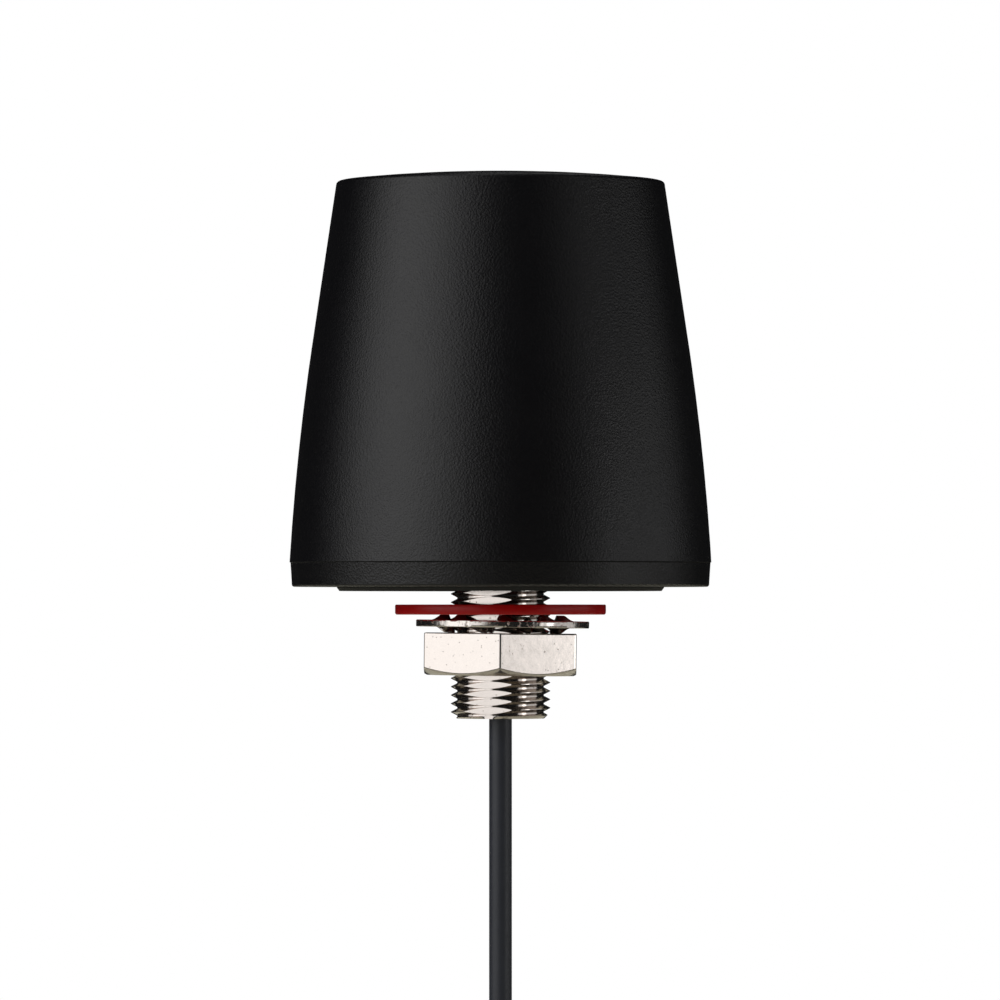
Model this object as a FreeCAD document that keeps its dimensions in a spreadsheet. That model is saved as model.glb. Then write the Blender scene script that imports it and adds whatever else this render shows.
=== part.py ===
import FreeCAD, Part

# Panel-mount cellular antenna: a moulded conical housing on an M12 threaded stud, with its
# washers, its nut, and a coaxial lead that ends in a plug.
# Frame: millimetres, +Z up along the stud. The origin is on the stud's axis, in the plane where the
# gasket meets the panel. The panel lies below it, between the gasket and the red washer.

import math
import os
import re

import Sketcher
from FreeCAD import Placement, Rotation, Vector

# Driving dimensions

SIZES = {
    # housing, outside
    "foot_radius": 25.0,
    "seam_height": 3.4,
    "taper_radius": 22.23,
    "taper_height": 29.8,
    "side_bow_radius": 300.0,
    "rim_radius": 19.43,
    "rim_height": 48.5,
    "dome_rise": 1.05,
    "rim_rounding": 0.45,
    # housing, inside
    "radome_wall": 2.0,
    "roof_overlap": 0.5,
    "socket_extra": 1.0,
    "column_radius": 2.5,
    "column_setback": 8.5,
    "guide_thickness": 1.2,
    "guide_overlap": 1.5,
    "guide_bottom": 20.0,
    # base
    "base_overhang": 0.1,
    "base_draft": 0.18,
    "base_underside": 0.5,
    "base_edge_rounding": 0.3,
    "base_floor": 2.0,
    "boss_gap": 0.3,
    "boss_stand_in": 0.1,
    "spigot_height": 4.0,
    "spigot_thickness": 2.4,
    "spigot_clearance": 0.15,
    "pocket_rim_gap": 0.2,
    "pocket_wall": 2.253,
    "head_floor": 3.0,
    # seals
    "seal_width": 1.6,
    "seal_groove_depth": 1.1,
    "seal_rise": 1.1,
    "seal_clearance": 0.01,
    "seal_rounding": 0.4,
    "gasket_setback": 5.9,
    "gasket_width": 5.6,
    "gasket_slope": 0.3,
    "gasket_slope_height": 0.4,
    "gasket_clearance": 0.1,
    "gasket_recess_depth": 1.5,
    # stud
    "stud_radius": 5.88,
    "stud_bore_radius": 2.5,
    "stud_hole_clearance": 0.22,
    "stud_free_length": 5.1,
    "stud_end_chamfer": 0.7,
    "stud_flat_distance": 5.27,
    "stud_flat_turn": 15.6,
    "head_thickness": 3.0,
    "head_clearance": 0.05,
    "potting_recess": 0.6,
    "potting_length": 12.0,
    "potting_clearance": 0.01,
    # washers and nut
    "panel_gap": 1.6,
    "red_washer_radius": 12.5,
    "red_washer_thickness": 1.2,
    "red_washer_rounding": 0.2,
    "lock_washer_radius": 10.25,
    "lock_washer_ring_inner": 8.3,
    "lock_washer_sheet": 0.82,
    "lock_washer_height": 2.2,
    "tooth_count": 8,
    "tooth_turn": 12.5,
    "tooth_tip_radius": 6.05,
    "tooth_neck_radius": 7.2,
    "tooth_root_overlap": 0.6,
    "tooth_root_width": 4.3,
    "tooth_throat": 0.15,
    "tooth_throat_width": 3.7,
    "tooth_neck_width": 4.0,
    "tooth_tip_width": 4.3,
    "tooth_twist": 18.9,
    "nut_flats": 18.0,
    "nut_thickness": 5.0,
    "nut_chamfer_angle": 26.6,
    "nut_chamfer_inset": 0.3,
    "nut_turn": 0.8,
    "nut_thread_clearance": 0.02,
    # ground plate and screws
    "plate_setback": 6.0,
    "plate_thickness": 0.8,
    "plate_notch_clearance": 0.4,
    "screw_hole_clearance": 0.15,
    "pilot_clearance": 0.02,
    "ground_screw_wall": 2.2,
    "ground_screw_radius": 0.95,
    "ground_screw_head": 1.8,
    "ground_screw_head_height": 1.3,
    "ground_screw_length": 3.3,
    "ground_pilot_extra": 0.3,
    "cover_screw_radius": 1.25,
    "cover_screw_head": 2.2,
    "cover_screw_length": 10.0,
    "cover_pilot_extra": 2.0,
    "recess_depth": 0.6,
    "recess_radius": 0.75,
    # radiating board
    "board_offset": 0.35,
    "board_thickness": 1.6,
    "board_side_gap": 4.43,
    "board_shoulder": 2.5,
    "board_shoulder_height": 16.0,
    "board_headroom": 3.5,
    "board_guide_clearance": 0.15,
    "board_notch_half_width": 3.8,
    "board_notch_top": 12.2,
    "tab_centre": 6.8,
    "tab_half_width": 1.5,
    "tab_clearance": 0.1,
    "foil_thickness": 0.1,
    "foil_feed_half_width": 1.0,
    "foil_gap": 0.4,
    "foil_margin": 1.8,
    "foil_flare_height": 26.0,
    "foil_slot_half_width": 0.8,
    "foil_slot_length": 12.0,
    "strip_width": 4.0,
    "strip_drop": 11.0,
    "bracket_thickness": 0.5,
    "bracket_width": 4.0,
    "bracket_foot": 2.0,
    "bracket_height": 4.2,
    # coaxial lead
    "cable_radius": 1.35,
    "core_radius": 0.75,
    "wire_radius": 0.25,
    "cable_hole_clearance": 0.1,
    "jacket_end_rise": 1.7,
    "core_end_rise": 4.8,
    "wire_end_rise": 7.6,
    "ferrule_height": 3.4,
    "ferrule_radius": 2.0,
    "ferrule_flange_radius": 3.4,
    "ferrule_flange_thickness": 0.4,
    "ferrule_clearance": 0.02,
    # hank of the spare length
    "hank_top": -68.0,
    "hank_loop_radius": 12.2,
    "hank_loop_spacing": 29.6,
    "hank_half_thickness": 6.75,
    "hank_waist_half_width": 5.6,
    "tie_width": 7.8,
    "tie_thickness": 1.0,
    "tie_clearance": 0.05,
    "tail_forward": 5.4,
    "tail_end": -130.0,
    # plug
    "sleeve_length": 13.0,
    "sleeve_thickness": 0.4,
    "sleeve_neck": 4.5,
    "sleeve_taper": 1.2,
    "crimp_length": 7.0,
    "crimp_thickness": 0.5,
    "crimp_stem_radius": 1.4,
    "stem_extra": 0.38,
    "crimp_clearance": 0.02,
    "shoulder_radius": 2.9,
    "shoulder_length": 1.8,
    "plug_neck_radius": 2.28,
    "plug_neck_length": 5.6,
    "ring_groove_depth": 0.4,
    "ring_groove_rise": 1.2,
    "ring_thickness": 0.5,
    "ring_reach": 0.35,
    "ring_gap_angle": 40.0,
    "insulator_radius": 2.0,
    "insulator_length": 3.1,
    "contact_radius": 0.62,
    "contact_tail": 1.24,
    "wire_insertion": 0.62,
    "pin_radius": 0.46,
    "pin_length": 2.3,
    "contact_fit": 0.02,
    "coupling_flats": 8.0,
    "coupling_length": 8.6,
    "coupling_collar": 0.9,
    "coupling_collar_radius": 3.9,
    "coupling_thread_radius": 3.0,
    "coupling_wall": 2.3,
    "coupling_clearance": 0.06,
    "plug_seal_length": 0.9,
}

document = FreeCAD.newDocument("cellular_antenna")
sheet = document.addObject("Spreadsheet::Sheet", "Sizes")
for row, (alias, value) in enumerate(SIZES.items(), start=1):
    sheet.set(f"A{row}", alias)
    sheet.set(f"B{row}", str(value))
    sheet.setAlias(f"B{row}", alias)
document.recompute()

# Sizes and heights that several pieces share, written in the names of the sheet

floor_top = "(base_underside + gasket_recess_depth + base_floor)"
recess_top = "(base_underside + gasket_recess_depth)"
plate_bottom = "(head_floor + head_thickness)"
plate_top = f"({plate_bottom} + plate_thickness)"
red_washer_bottom = "(-panel_gap - red_washer_thickness)"
lock_washer_middle = f"({red_washer_bottom} - lock_washer_height / 2)"
nut_top = f"({red_washer_bottom} - lock_washer_height)"
nut_bottom = f"({nut_top} - nut_thickness)"
stud_end = f"({nut_bottom} - stud_free_length)"
dome_radius = "((rim_radius^2 + dome_rise^2) / (2 * dome_rise))"
column_circle = "(foot_radius - column_setback)"
gasket_outer = "(foot_radius - gasket_setback)"
gasket_inner = f"({gasket_outer} - gasket_width)"
pocket_rim = f"({column_circle} - column_radius - pocket_rim_gap)"
head_flats = f"(2 * cos(30) * ({pocket_rim} - pocket_wall))"
ground_screw_circle = f"({head_flats} / 2 + ground_screw_wall)"
board_front = "board_offset"
board_back = "(board_offset + board_thickness)"
board_side = "(rim_radius - board_side_gap)"
board_top = "(rim_height - board_headroom)"

# The radome's columns stand midway between the ground screws, in degrees about the stud's axis.

COLUMN_TURN = 60.0
column_place = (f"{column_circle} * cos({COLUMN_TURN})", f"{column_circle} * sin({COLUMN_TURN})")

nodes = {}


# Helpers

def linked(text):
    """An expression of the sheet: each size's plain name gets the sheet's name before it."""
    return re.sub(r"[a-z_]+", lambda word: f"Sizes.{word[0]}" if word[0] in SIZES else word[0], str(text))


def value_of(text):
    """The number that an expression in the sizes' names comes to, in millimetres or degrees."""
    return float(sheet.evalExpression(linked(text)))


def new_body(label, node=True):
    """An empty body, which is one node of the model unless it is only a tool for another piece."""
    body = document.addObject("PartDesign::Body", label)
    body.Label = label
    if node:
        nodes[label] = body
    return body


def new_sketch(body, name, role, height="0", turn=0.0, turned_to=None):
    """A sketch on one of the body's own planes, lifted along its normal and turned about its upright."""
    sketch = body.newObject("Sketcher::SketchObject", name)
    plane = next(item for item in body.Origin.OriginFeatures if item.Role == role)
    sketch.AttachmentSupport = [(plane, "")]
    sketch.MapMode = "FlatFace"
    turn = value_of(turned_to) if turned_to else turn
    sketch.AttachmentOffset = Placement(Vector(0, 0, 0), Rotation(Vector(0, 1, 0), turn))
    if turned_to:
        sketch.setExpression("AttachmentOffset.Rotation.Angle", linked(turned_to))
        sketch.setExpression("AttachmentOffset.Base.x", linked(f"({height}) * sin({turned_to})"))
        sketch.setExpression("AttachmentOffset.Base.z", linked(f"({height}) * cos({turned_to})"))
    elif height != "0":
        sketch.setExpression("AttachmentOffset.Base.z", linked(height))
    document.recompute()
    return sketch


def bind(sketch, kind, name, places, text, value=None):
    """A constraint of the sketch whose number follows an expression of the sheet."""
    number = value_of(text) if value is None else value
    index = sketch.addConstraint(Sketcher.Constraint(kind, *places, number))
    sketch.renameConstraint(index, name)
    sketch.setExpression(f"Constraints.{name}", linked(text))


def pin_point(sketch, tag, geometry, position, corner):
    """Hold one point of the sketch at two expressions, or on an axis where one of them is 0."""
    for name, kind, axis, text in (("x", "DistanceX", -2, corner[0]), ("y", "DistanceY", -1, corner[1])):
        if text == "0":
            sketch.addConstraint(Sketcher.Constraint("PointOnObject", geometry, position, axis))
        else:
            bind(sketch, kind, f"{name}_{tag}", (-1, 1, geometry, position), text)


def arc_between(start, end, radius, side):
    """The arc of a given radius from one point to the next: side 1 bulges to the right, -1 to the left."""
    chord = math.dist(start, end)
    reach = math.sqrt(max(radius**2 - chord**2 / 4, 0.0))
    along_x, along_y = (end[0] - start[0]) / chord, (end[1] - start[1]) / chord
    centre_x = (start[0] + end[0]) / 2 - side * along_y * reach
    centre_y = (start[1] + end[1]) / 2 + side * along_x * reach
    first, last = (start, end) if side > 0 else (end, start)
    angles = [math.atan2(point[1] - centre_y, point[0] - centre_x) for point in (first, last)]
    if angles[1] < angles[0]:
        angles[1] += 2 * math.pi
    whole = Part.Circle(Vector(centre_x, centre_y, 0), Vector(0, 0, 1), radius)
    return Part.ArcOfCircle(whole, angles[0], angles[1])


def outline(sketch, corners, arcs=None, tag="p"):
    """A closed outline through corners, each a pair of expressions. arcs maps a side to (radius, bulge)."""
    arcs = arcs or {}
    points = [(value_of(x), value_of(y)) for x, y in corners]
    firsts, lasts = [], []
    for index, start in enumerate(points):
        end = points[(index + 1) % len(points)]
        if index in arcs:
            radius, side = arcs[index]
            piece = sketch.addGeometry(arc_between(start, end, value_of(radius), side), False)
            bind(sketch, "Radius", f"bow_{tag}{index}", (piece,), radius)
            firsts.append((piece, 1 if side > 0 else 2))
            lasts.append((piece, 2 if side > 0 else 1))
        else:
            piece = sketch.addGeometry(Part.LineSegment(Vector(*start, 0), Vector(*end, 0)), False)
            firsts.append((piece, 1))
            lasts.append((piece, 2))
    for index, corner in enumerate(corners):
        sketch.addConstraint(Sketcher.Constraint("Coincident", *lasts[index - 1], *firsts[index]))
        pin_point(sketch, f"{tag}{index}", *firsts[index], corner)
    return sketch


def circle(sketch, x, y, radius, tag="c"):
    """A circle whose centre and radius follow the sheet."""
    centre = Vector(value_of(x), value_of(y), 0)
    piece = sketch.addGeometry(Part.Circle(centre, Vector(0, 0, 1), value_of(radius)), False)
    pin_point(sketch, tag, piece, 3, (x, y))
    bind(sketch, "Radius", f"round_{tag}", (piece,), radius)
    return sketch


def hexagon(sketch, flats, turn="0", tag="h"):
    """A hexagon about the origin by its width over flats, with a corner on -Y before it is turned."""
    reach = f"({flats}) / 2 / cos(30)"
    corners = [
        (f"{reach} * cos({30 + 60 * step} + {turn})", f"{reach} * sin({30 + 60 * step} + {turn})")
        for step in range(6)
    ]
    return outline(sketch, corners, tag=tag)


def add(body, kind, name, sketch, **settings):
    """A feature of the body made from a sketch, with sizes given as expressions where they are text."""
    feature = body.newObject(f"PartDesign::{kind}", name)
    feature.Profile = sketch
    for key, setting in settings.items():
        if isinstance(setting, str) and key in ("Length", "Angle"):
            feature.setExpression(key, linked(setting))
        else:
            setattr(feature, key, setting)
    sketch.Visibility = False
    document.recompute()
    return feature


def turned(body, name, corners, arcs=None, cut=False, turn=0.0):
    """A turned form, or a turned cut, from its half section in the XZ plane."""
    sketch = outline(new_sketch(body, f"{name}_section", "XZ_Plane", turn=turn), corners, arcs)
    kind = "Groove" if cut else "Revolution"
    return add(body, kind, name, sketch, ReferenceAxis=(sketch, ["V_Axis"]), Angle=360.0)


def turned_beside(body, name, axis_x, corners, cut=False, turn=0.0):
    """A turned form about an upright axis beside the body's own; its corners' radii are from that axis."""
    sketch = new_sketch(body, f"{name}_section", "XZ_Plane", turn=turn)
    foot, head = Vector(value_of(axis_x), 0, 0), Vector(value_of(axis_x), 1, 0)
    axis = sketch.addGeometry(Part.LineSegment(foot, head), True)
    sketch.addConstraint(Sketcher.Constraint("Vertical", axis))
    pin_point(sketch, "axis", axis, 1, (axis_x, "0"))
    bind(sketch, "Distance", "axis_length", (axis,), "1")
    outline(sketch, [(f"{axis_x} + {x}", y) for x, y in corners])
    kind = "Groove" if cut else "Revolution"
    return add(body, kind, name, sketch, ReferenceAxis=(sketch, ["Axis0"]), Angle=360.0)


def around(body, name, features, count):
    """Repeat features evenly about the body's Z axis."""
    pattern = body.newObject("PartDesign::PolarPattern", name)
    pattern.Originals = features
    upright = next(item for item in body.Origin.OriginFeatures if item.Role == "Z_Axis")
    pattern.Axis = (upright, [""])
    pattern.Angle = 360.0
    if isinstance(count, str):
        pattern.setExpression("Occurrences", linked(count))
    else:
        pattern.Occurrences = count
    body.Tip = pattern
    document.recompute()
    return pattern


def edges_where(shape, test):
    """The names of the edges whose middle point passes a test."""
    names = []
    for index, edge in enumerate(shape.Edges, start=1):
        if edge.Degenerated:
            continue
        middle = edge.valueAt((edge.FirstParameter + edge.LastParameter) / 2)
        if test(edge, middle):
            names.append(f"Edge{index}")
    return names


def on_circle(radius, height):
    """A test for the edges that run round the axis at a radius and a height."""
    target, level = value_of(radius), value_of(height)

    def test(edge, middle):
        round_it = hasattr(edge.Curve, "Radius") and abs(edge.Curve.Radius - target) < 1e-4
        return round_it and abs(middle.z - level) < 1e-4

    return test


def any_circle(edge, middle):
    """A test for every edge that runs round the axis."""
    return hasattr(edge.Curve, "Radius")


def dress(body, kind, name, base, test, size):
    """Round or chamfer the edges that a test picks from the last feature."""
    feature = body.newObject(f"PartDesign::{kind}", name)
    feature.Base = (base, edges_where(base.Shape, test))
    feature.setExpression("Radius" if kind == "Fillet" else "Size", linked(size))
    document.recompute()
    return feature


def boolean(kind, label, base, tools, node=True):
    """A Part boolean of a base and its tools, as one object."""
    result = document.addObject(f"Part::{kind}", label)
    result.Label = label
    if kind in ("MultiFuse", "MultiCommon"):
        result.Shapes = [base, *tools]
    else:
        result.Base = base
        result.Tool = tools[0]
    result.Refine = True
    if node:
        nodes[label] = result
    document.recompute()
    return result


# Radome: one ABS moulding, drawn as the outside less the mould's core. The core leaves three screw
# columns and two pairs of guides for the board, all of which run up to the roof.

def make_radome():
    outside = new_body("radome_outside", node=False)
    shell = turned(
        outside, "outside",
        [
            ("0", "seam_height"),
            ("foot_radius", "seam_height"),
            ("taper_radius", "taper_height"),
            ("rim_radius", "rim_height"),
            ("0", "rim_height + dome_rise"),
        ],
        {1: ("side_bow_radius", 1), 3: (dome_radius, 1)},
    )
    dress(outside, "Fillet", "rim", shell, on_circle("rim_radius", "rim_height"), "rim_rounding")

    roof_radius = f"({dome_radius} - radome_wall)"
    roof_centre = f"(rim_height + dome_rise - {dome_radius})"
    roof_corner = f"{roof_centre} + sqrt({roof_radius}^2 - (rim_radius - radome_wall)^2)"
    core = new_body("mould_core", node=False)
    turned(
        core, "cavity",
        [
            ("0", "seam_height - radome_wall"),
            ("foot_radius - radome_wall", "seam_height - radome_wall"),
            ("foot_radius - radome_wall", "seam_height + spigot_height + socket_extra"),
            ("taper_radius - radome_wall", "taper_height"),
            ("rim_radius - radome_wall", roof_corner),
            ("0", "rim_height + dome_rise - radome_wall"),
        ],
        {4: (roof_radius, 1)},
    )

    columns = new_body("screw_columns", node=False)
    foot = new_sketch(columns, "foot", "XY_Plane", floor_top)
    circle(foot, *column_place, "column_radius")
    column = add(columns, "Pad", "column", foot, Length=f"rim_height - {floor_top} - roof_overlap")
    pilot_end = f"{recess_top} + cover_screw_length + cover_pilot_extra"
    pilot = turned_beside(
        columns, "pilot", column_circle,
        [
            ("0", floor_top),
            ("cover_screw_radius + pilot_clearance", floor_top),
            ("cover_screw_radius + pilot_clearance", pilot_end),
            ("0", pilot_end),
        ],
        cut=True, turn=COLUMN_TURN,
    )
    around(columns, "three_columns", [column, pilot], 3)

    guides = new_body("board_guides", node=False)
    plan = new_sketch(guides, "guide_plan", "XY_Plane", "guide_bottom")
    for side in (-1, 1):
        near, far = f"{side} * ({board_side} - guide_overlap)", f"{side} * foot_radius"
        for face, board_face in ((-1, board_front), (1, board_back)):
            inner = f"{board_face} + {face} * board_guide_clearance"
            outer = f"{inner} + {face} * guide_thickness"
            corners = [(inner, near), (inner, far), (outer, far), (outer, near)]
            outline(plan, corners, tag=f"g{side + 1}{face + 1}")
    add(guides, "Pad", "guide", plan, Length="rim_height - guide_bottom - roof_overlap")

    inner_forms = boolean("MultiFuse", "inner_forms", columns, [guides], node=False)
    hollow = boolean("Cut", "radome_hollow", core, [inner_forms], node=False)
    boolean("Cut", "radome", outside, [hollow])


# Base: one ABS moulding with a spigot that the radome slides over, a groove for the seal, a hexagonal
# pocket for the stud's head, and a recess below for the panel gasket.

def make_base():
    base = new_body("base_plate")
    top_radius = "(foot_radius - base_overhang)"
    bottom_radius = f"({top_radius} - base_draft)"
    spigot_radius = "(foot_radius - radome_wall - spigot_clearance)"
    spigot_top = "(seam_height + spigot_height)"
    recess_side = f"({gasket_outer} + gasket_slope + gasket_clearance)"
    boss_side = f"({gasket_inner} - boss_gap)"
    hole = "(stud_radius + stud_hole_clearance)"
    form = turned(
        base, "form",
        [
            (hole, "boss_stand_in"),
            (boss_side, "boss_stand_in"),
            (boss_side, recess_top),
            (recess_side, recess_top),
            (recess_side, "base_underside"),
            (bottom_radius, "base_underside"),
            (top_radius, "seam_height"),
            (spigot_radius, "seam_height"),
            (spigot_radius, "seam_height + seal_rise"),
            (f"{spigot_radius} - seal_groove_depth", "seam_height + seal_rise"),
            (f"{spigot_radius} - seal_groove_depth", "seam_height + seal_rise + seal_width"),
            (spigot_radius, "seam_height + seal_rise + seal_width"),
            (spigot_radius, spigot_top),
            (f"{spigot_radius} - spigot_thickness", spigot_top),
            (f"{spigot_radius} - spigot_thickness", floor_top),
            (pocket_rim, floor_top),
            (pocket_rim, plate_bottom),
            (hole, plate_bottom),
        ],
    )
    dress(base, "Fillet", "edge", form, on_circle(bottom_radius, "base_underside"), "base_edge_rounding")
    pocket_plan = new_sketch(base, "pocket_plan", "XY_Plane", plate_bottom)
    hexagon(pocket_plan, f"{head_flats} + 2 * head_clearance")
    add(base, "Pocket", "head_pocket", pocket_plan, Length="head_thickness")
    slope = "(cover_screw_head - cover_screw_radius)"
    seat = turned_beside(
        base, "screw_seat", column_circle,
        [
            ("0", recess_top),
            ("cover_screw_head + screw_hole_clearance", recess_top),
            ("cover_screw_radius + screw_hole_clearance", f"{recess_top} + {slope}"),
            ("cover_screw_radius + screw_hole_clearance", floor_top),
            ("0", floor_top),
        ],
        cut=True, turn=COLUMN_TURN,
    )
    around(base, "three_seats", [seat], 3)
    pilot_depth = f"({plate_bottom} - ground_screw_length - ground_pilot_extra)"
    pilot = turned_beside(
        base, "ground_pilot", ground_screw_circle,
        [
            ("0", pilot_depth),
            ("ground_screw_radius + pilot_clearance", pilot_depth),
            ("ground_screw_radius + pilot_clearance", plate_bottom),
            ("0", plate_bottom),
        ],
        cut=True,
    )
    around(base, "three_pilots", [pilot], 3)


def make_seals():
    inner = "(foot_radius - radome_wall - spigot_clearance - seal_groove_depth + seal_clearance)"
    outer = "(foot_radius - radome_wall - seal_clearance)"
    low = "seam_height + seal_rise + seal_clearance"
    high = "seam_height + seal_rise + seal_width - seal_clearance"
    ring = new_body("radome_seal")
    section = turned(ring, "section", [(inner, low), (outer, low), (outer, high), (inner, high)])
    dress(ring, "Fillet", "soft_corners", section, any_circle, "seal_rounding")

    gasket = new_body("base_gasket")
    turned(
        gasket, "section",
        [
            (gasket_inner, "0"),
            (gasket_outer, "0"),
            (f"{gasket_outer} + gasket_slope", "gasket_slope_height"),
            (f"{gasket_outer} + gasket_slope", recess_top),
            (gasket_inner, recess_top),
        ],
    )


# Stud: turned from hexagonal bar, nickel plated. Its head sits in the base and is clamped by the
# ground plate; one flat is milled along the thread. The thread itself is a plain rod here.

def make_stud():
    stud = new_body("threaded_stud")
    head_plan = hexagon(new_sketch(stud, "head_plan", "XY_Plane", "head_floor"), head_flats)
    add(stud, "Pad", "head", head_plan, Length="head_thickness")
    turned(
        stud, "shank",
        [
            ("0", "head_floor + head_thickness / 2"),
            ("0", stud_end),
            ("stud_radius - stud_end_chamfer", stud_end),
            ("stud_radius", f"{stud_end} + stud_end_chamfer"),
            ("stud_radius", "head_floor + head_thickness / 2"),
        ],
    )
    bore = circle(new_sketch(stud, "bore_plan", "XY_Plane", plate_bottom), "0", "0", "stud_bore_radius")
    add(stud, "Pocket", "bore", bore, Length=f"{plate_bottom} - {stud_end}")
    flat_plan = new_sketch(stud, "flat_plan", "XY_Plane", "boss_stand_in")
    near, far = "stud_flat_distance", "(stud_radius + stud_hole_clearance)"
    normal_x, normal_y = "-sin(stud_flat_turn)", "-cos(stud_flat_turn)"
    corners = []
    for out, side in ((near, -1), (far, -1), (far, 1), (near, 1)):
        x = f"{out} * {normal_x} + {side} * stud_radius * {normal_y}"
        y = f"{out} * {normal_y} - {side} * stud_radius * {normal_x}"
        corners.append((x, y))
    outline(flat_plan, corners)
    add(stud, "Pocket", "flat", flat_plan, Length=f"boss_stand_in - {stud_end}")

    potting = new_body("stud_potting")
    low, high = f"({stud_end} + potting_recess)", f"({stud_end} + potting_recess + potting_length)"
    turned(
        potting, "plug",
        [
            ("cable_radius + potting_clearance", low),
            ("stud_bore_radius - potting_clearance", low),
            ("stud_bore_radius - potting_clearance", high),
            ("cable_radius + potting_clearance", high),
        ],
    )


def make_red_washer():
    washer = new_body("red_washer")
    hole = "stud_radius + stud_hole_clearance"
    section = turned(
        washer, "section",
        [
            (hole, red_washer_bottom),
            ("red_washer_radius", red_washer_bottom),
            ("red_washer_radius", "-panel_gap"),
            (hole, "-panel_gap"),
        ],
    )
    lower_edge = on_circle("red_washer_radius", red_washer_bottom)
    dress(washer, "Fillet", "soft_edge", section, lower_edge, "red_washer_rounding")


# Lock washer: a stamped spring-steel ring whose inward teeth are each twisted at the neck, so that one
# corner bites the washer above and the other bites the nut below.

def make_lock_washer():
    washer = new_body("tooth_lock_washer")
    half = "lock_washer_sheet / 2"
    turned(
        washer, "ring",
        [
            ("lock_washer_ring_inner", f"{lock_washer_middle} - {half}"),
            ("lock_washer_radius", f"{lock_washer_middle} - {half}"),
            ("lock_washer_radius", f"{lock_washer_middle} + {half}"),
            ("lock_washer_ring_inner", f"{lock_washer_middle} + {half}"),
        ],
    )
    sections = []
    for name, radius, width, twisted in (
        ("root", "lock_washer_ring_inner + tooth_root_overlap", "tooth_root_width", 0),
        ("throat", "lock_washer_ring_inner - tooth_throat", "tooth_throat_width", 0),
        ("neck", "tooth_neck_radius", "tooth_neck_width", 1),
        ("tip", "tooth_tip_radius", "tooth_tip_width", 1),
    ):
        sketch = new_sketch(washer, f"tooth_{name}", "YZ_Plane", radius, turned_to="tooth_turn")
        corners = []
        for across, up in ((-1, -1), (1, -1), (1, 1), (-1, 1)):
            y, z = f"{across} * {width} / 2", f"{up} * lock_washer_sheet / 2"
            turn = f"(-{twisted} * tooth_twist)"
            corners.append((
                f"{y} * cos{turn} - {z} * sin{turn}",
                f"{lock_washer_middle} + {y} * sin{turn} + {z} * cos{turn}",
            ))
        sections.append(outline(sketch, corners))
    tooth = add(washer, "AdditiveLoft", "tooth", sections[0], Sections=sections[1:], Ruled=True)
    around(washer, "teeth", [tooth], "tooth_count")


def make_nut():
    nut = new_body("hex_nut")
    plan = hexagon(new_sketch(nut, "plan", "XY_Plane", nut_bottom), "nut_flats", turn="nut_turn")
    circle(plan, "0", "0", "stud_radius + nut_thread_clearance")
    add(nut, "Pad", "hexagon", plan, Length="nut_thickness")
    turned(
        nut, "chamfer",
        [
            ("nut_flats / 2 - nut_chamfer_inset", nut_bottom),
            ("nut_flats", nut_bottom),
            ("nut_flats", f"{nut_bottom} + (nut_flats / 2 + nut_chamfer_inset) * tan(nut_chamfer_angle)"),
        ],
        cut=True,
    )


# Ground plate and the screws

def make_ground_plate():
    plate = new_body("ground_plate")
    plan = new_sketch(plate, "plan", "XY_Plane", plate_bottom)
    circle(plan, "0", "0", "foot_radius - plate_setback", tag="rim")
    circle(plan, "0", "0", "cable_radius + cable_hole_clearance", tag="hole")
    for side in (-1, 1):
        low = f"{side} * tab_centre - tab_half_width - tab_clearance"
        high = f"{side} * tab_centre + tab_half_width + tab_clearance"
        near, far = f"{board_front} - tab_clearance", f"{board_back} + tab_clearance"
        outline(plan, [(near, low), (far, low), (far, high), (near, high)], tag=f"slot{side + 1}")
    add(plate, "Pad", "disc", plan, Length="plate_thickness")
    notch_plan = new_sketch(plate, "notch_plan", "XY_Plane", plate_top)
    circle(notch_plan, *column_place, "column_radius + plate_notch_clearance")
    notch = add(plate, "Pocket", "notch", notch_plan, Length="plate_thickness")
    around(plate, "three_notches", [notch], 3)
    hole = turned_beside(
        plate, "screw_hole", ground_screw_circle,
        [
            ("0", plate_bottom),
            ("ground_screw_radius + screw_hole_clearance", plate_bottom),
            ("ground_screw_radius + screw_hole_clearance", plate_top),
            ("0", plate_top),
        ],
        cut=True,
    )
    around(plate, "three_holes", [hole], 3)


def make_screws():
    ground = new_body("ground_screws")
    tip = f"({plate_bottom} - ground_screw_length)"
    head = f"({plate_top} + ground_screw_head_height)"
    screw = turned_beside(
        ground, "screw", ground_screw_circle,
        [
            ("0", tip),
            ("ground_screw_radius", tip),
            ("ground_screw_radius", plate_top),
            ("ground_screw_head", plate_top),
            ("ground_screw_head", head),
            ("recess_radius", head),
            ("recess_radius", f"{head} - recess_depth"),
            ("0", f"{head} - recess_depth"),
        ],
    )
    around(ground, "three_screws", [screw], 3)

    cover = new_body("cover_screws")
    slope = "(cover_screw_head - cover_screw_radius)"
    screw = turned_beside(
        cover, "screw", column_circle,
        [
            ("0", f"{recess_top} + recess_depth"),
            ("recess_radius", f"{recess_top} + recess_depth"),
            ("recess_radius", recess_top),
            ("cover_screw_head", recess_top),
            ("cover_screw_radius", f"{recess_top} + {slope}"),
            ("cover_screw_radius", f"{recess_top} + cover_screw_length"),
            ("0", f"{recess_top} + cover_screw_length"),
        ],
        turn=COLUMN_TURN,
    )
    around(cover, "three_screws", [screw], 3)


# Radiating board: an upright glass-fibre board in the YZ plane, with copper on both faces, that
# stands in two slots of the ground plate and is held by two brackets.

def upright_sheet(label, near, thickness, outlines):
    """A flat piece parallel to the YZ plane, from one or more closed outlines."""
    body = new_body(label)
    sketch = new_sketch(body, "plan", "YZ_Plane", near)
    for index, corners in enumerate(outlines):
        outline(sketch, corners, tag=f"s{index}_")
    add(body, "Pad", "sheet", sketch, Length=thickness)


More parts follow.
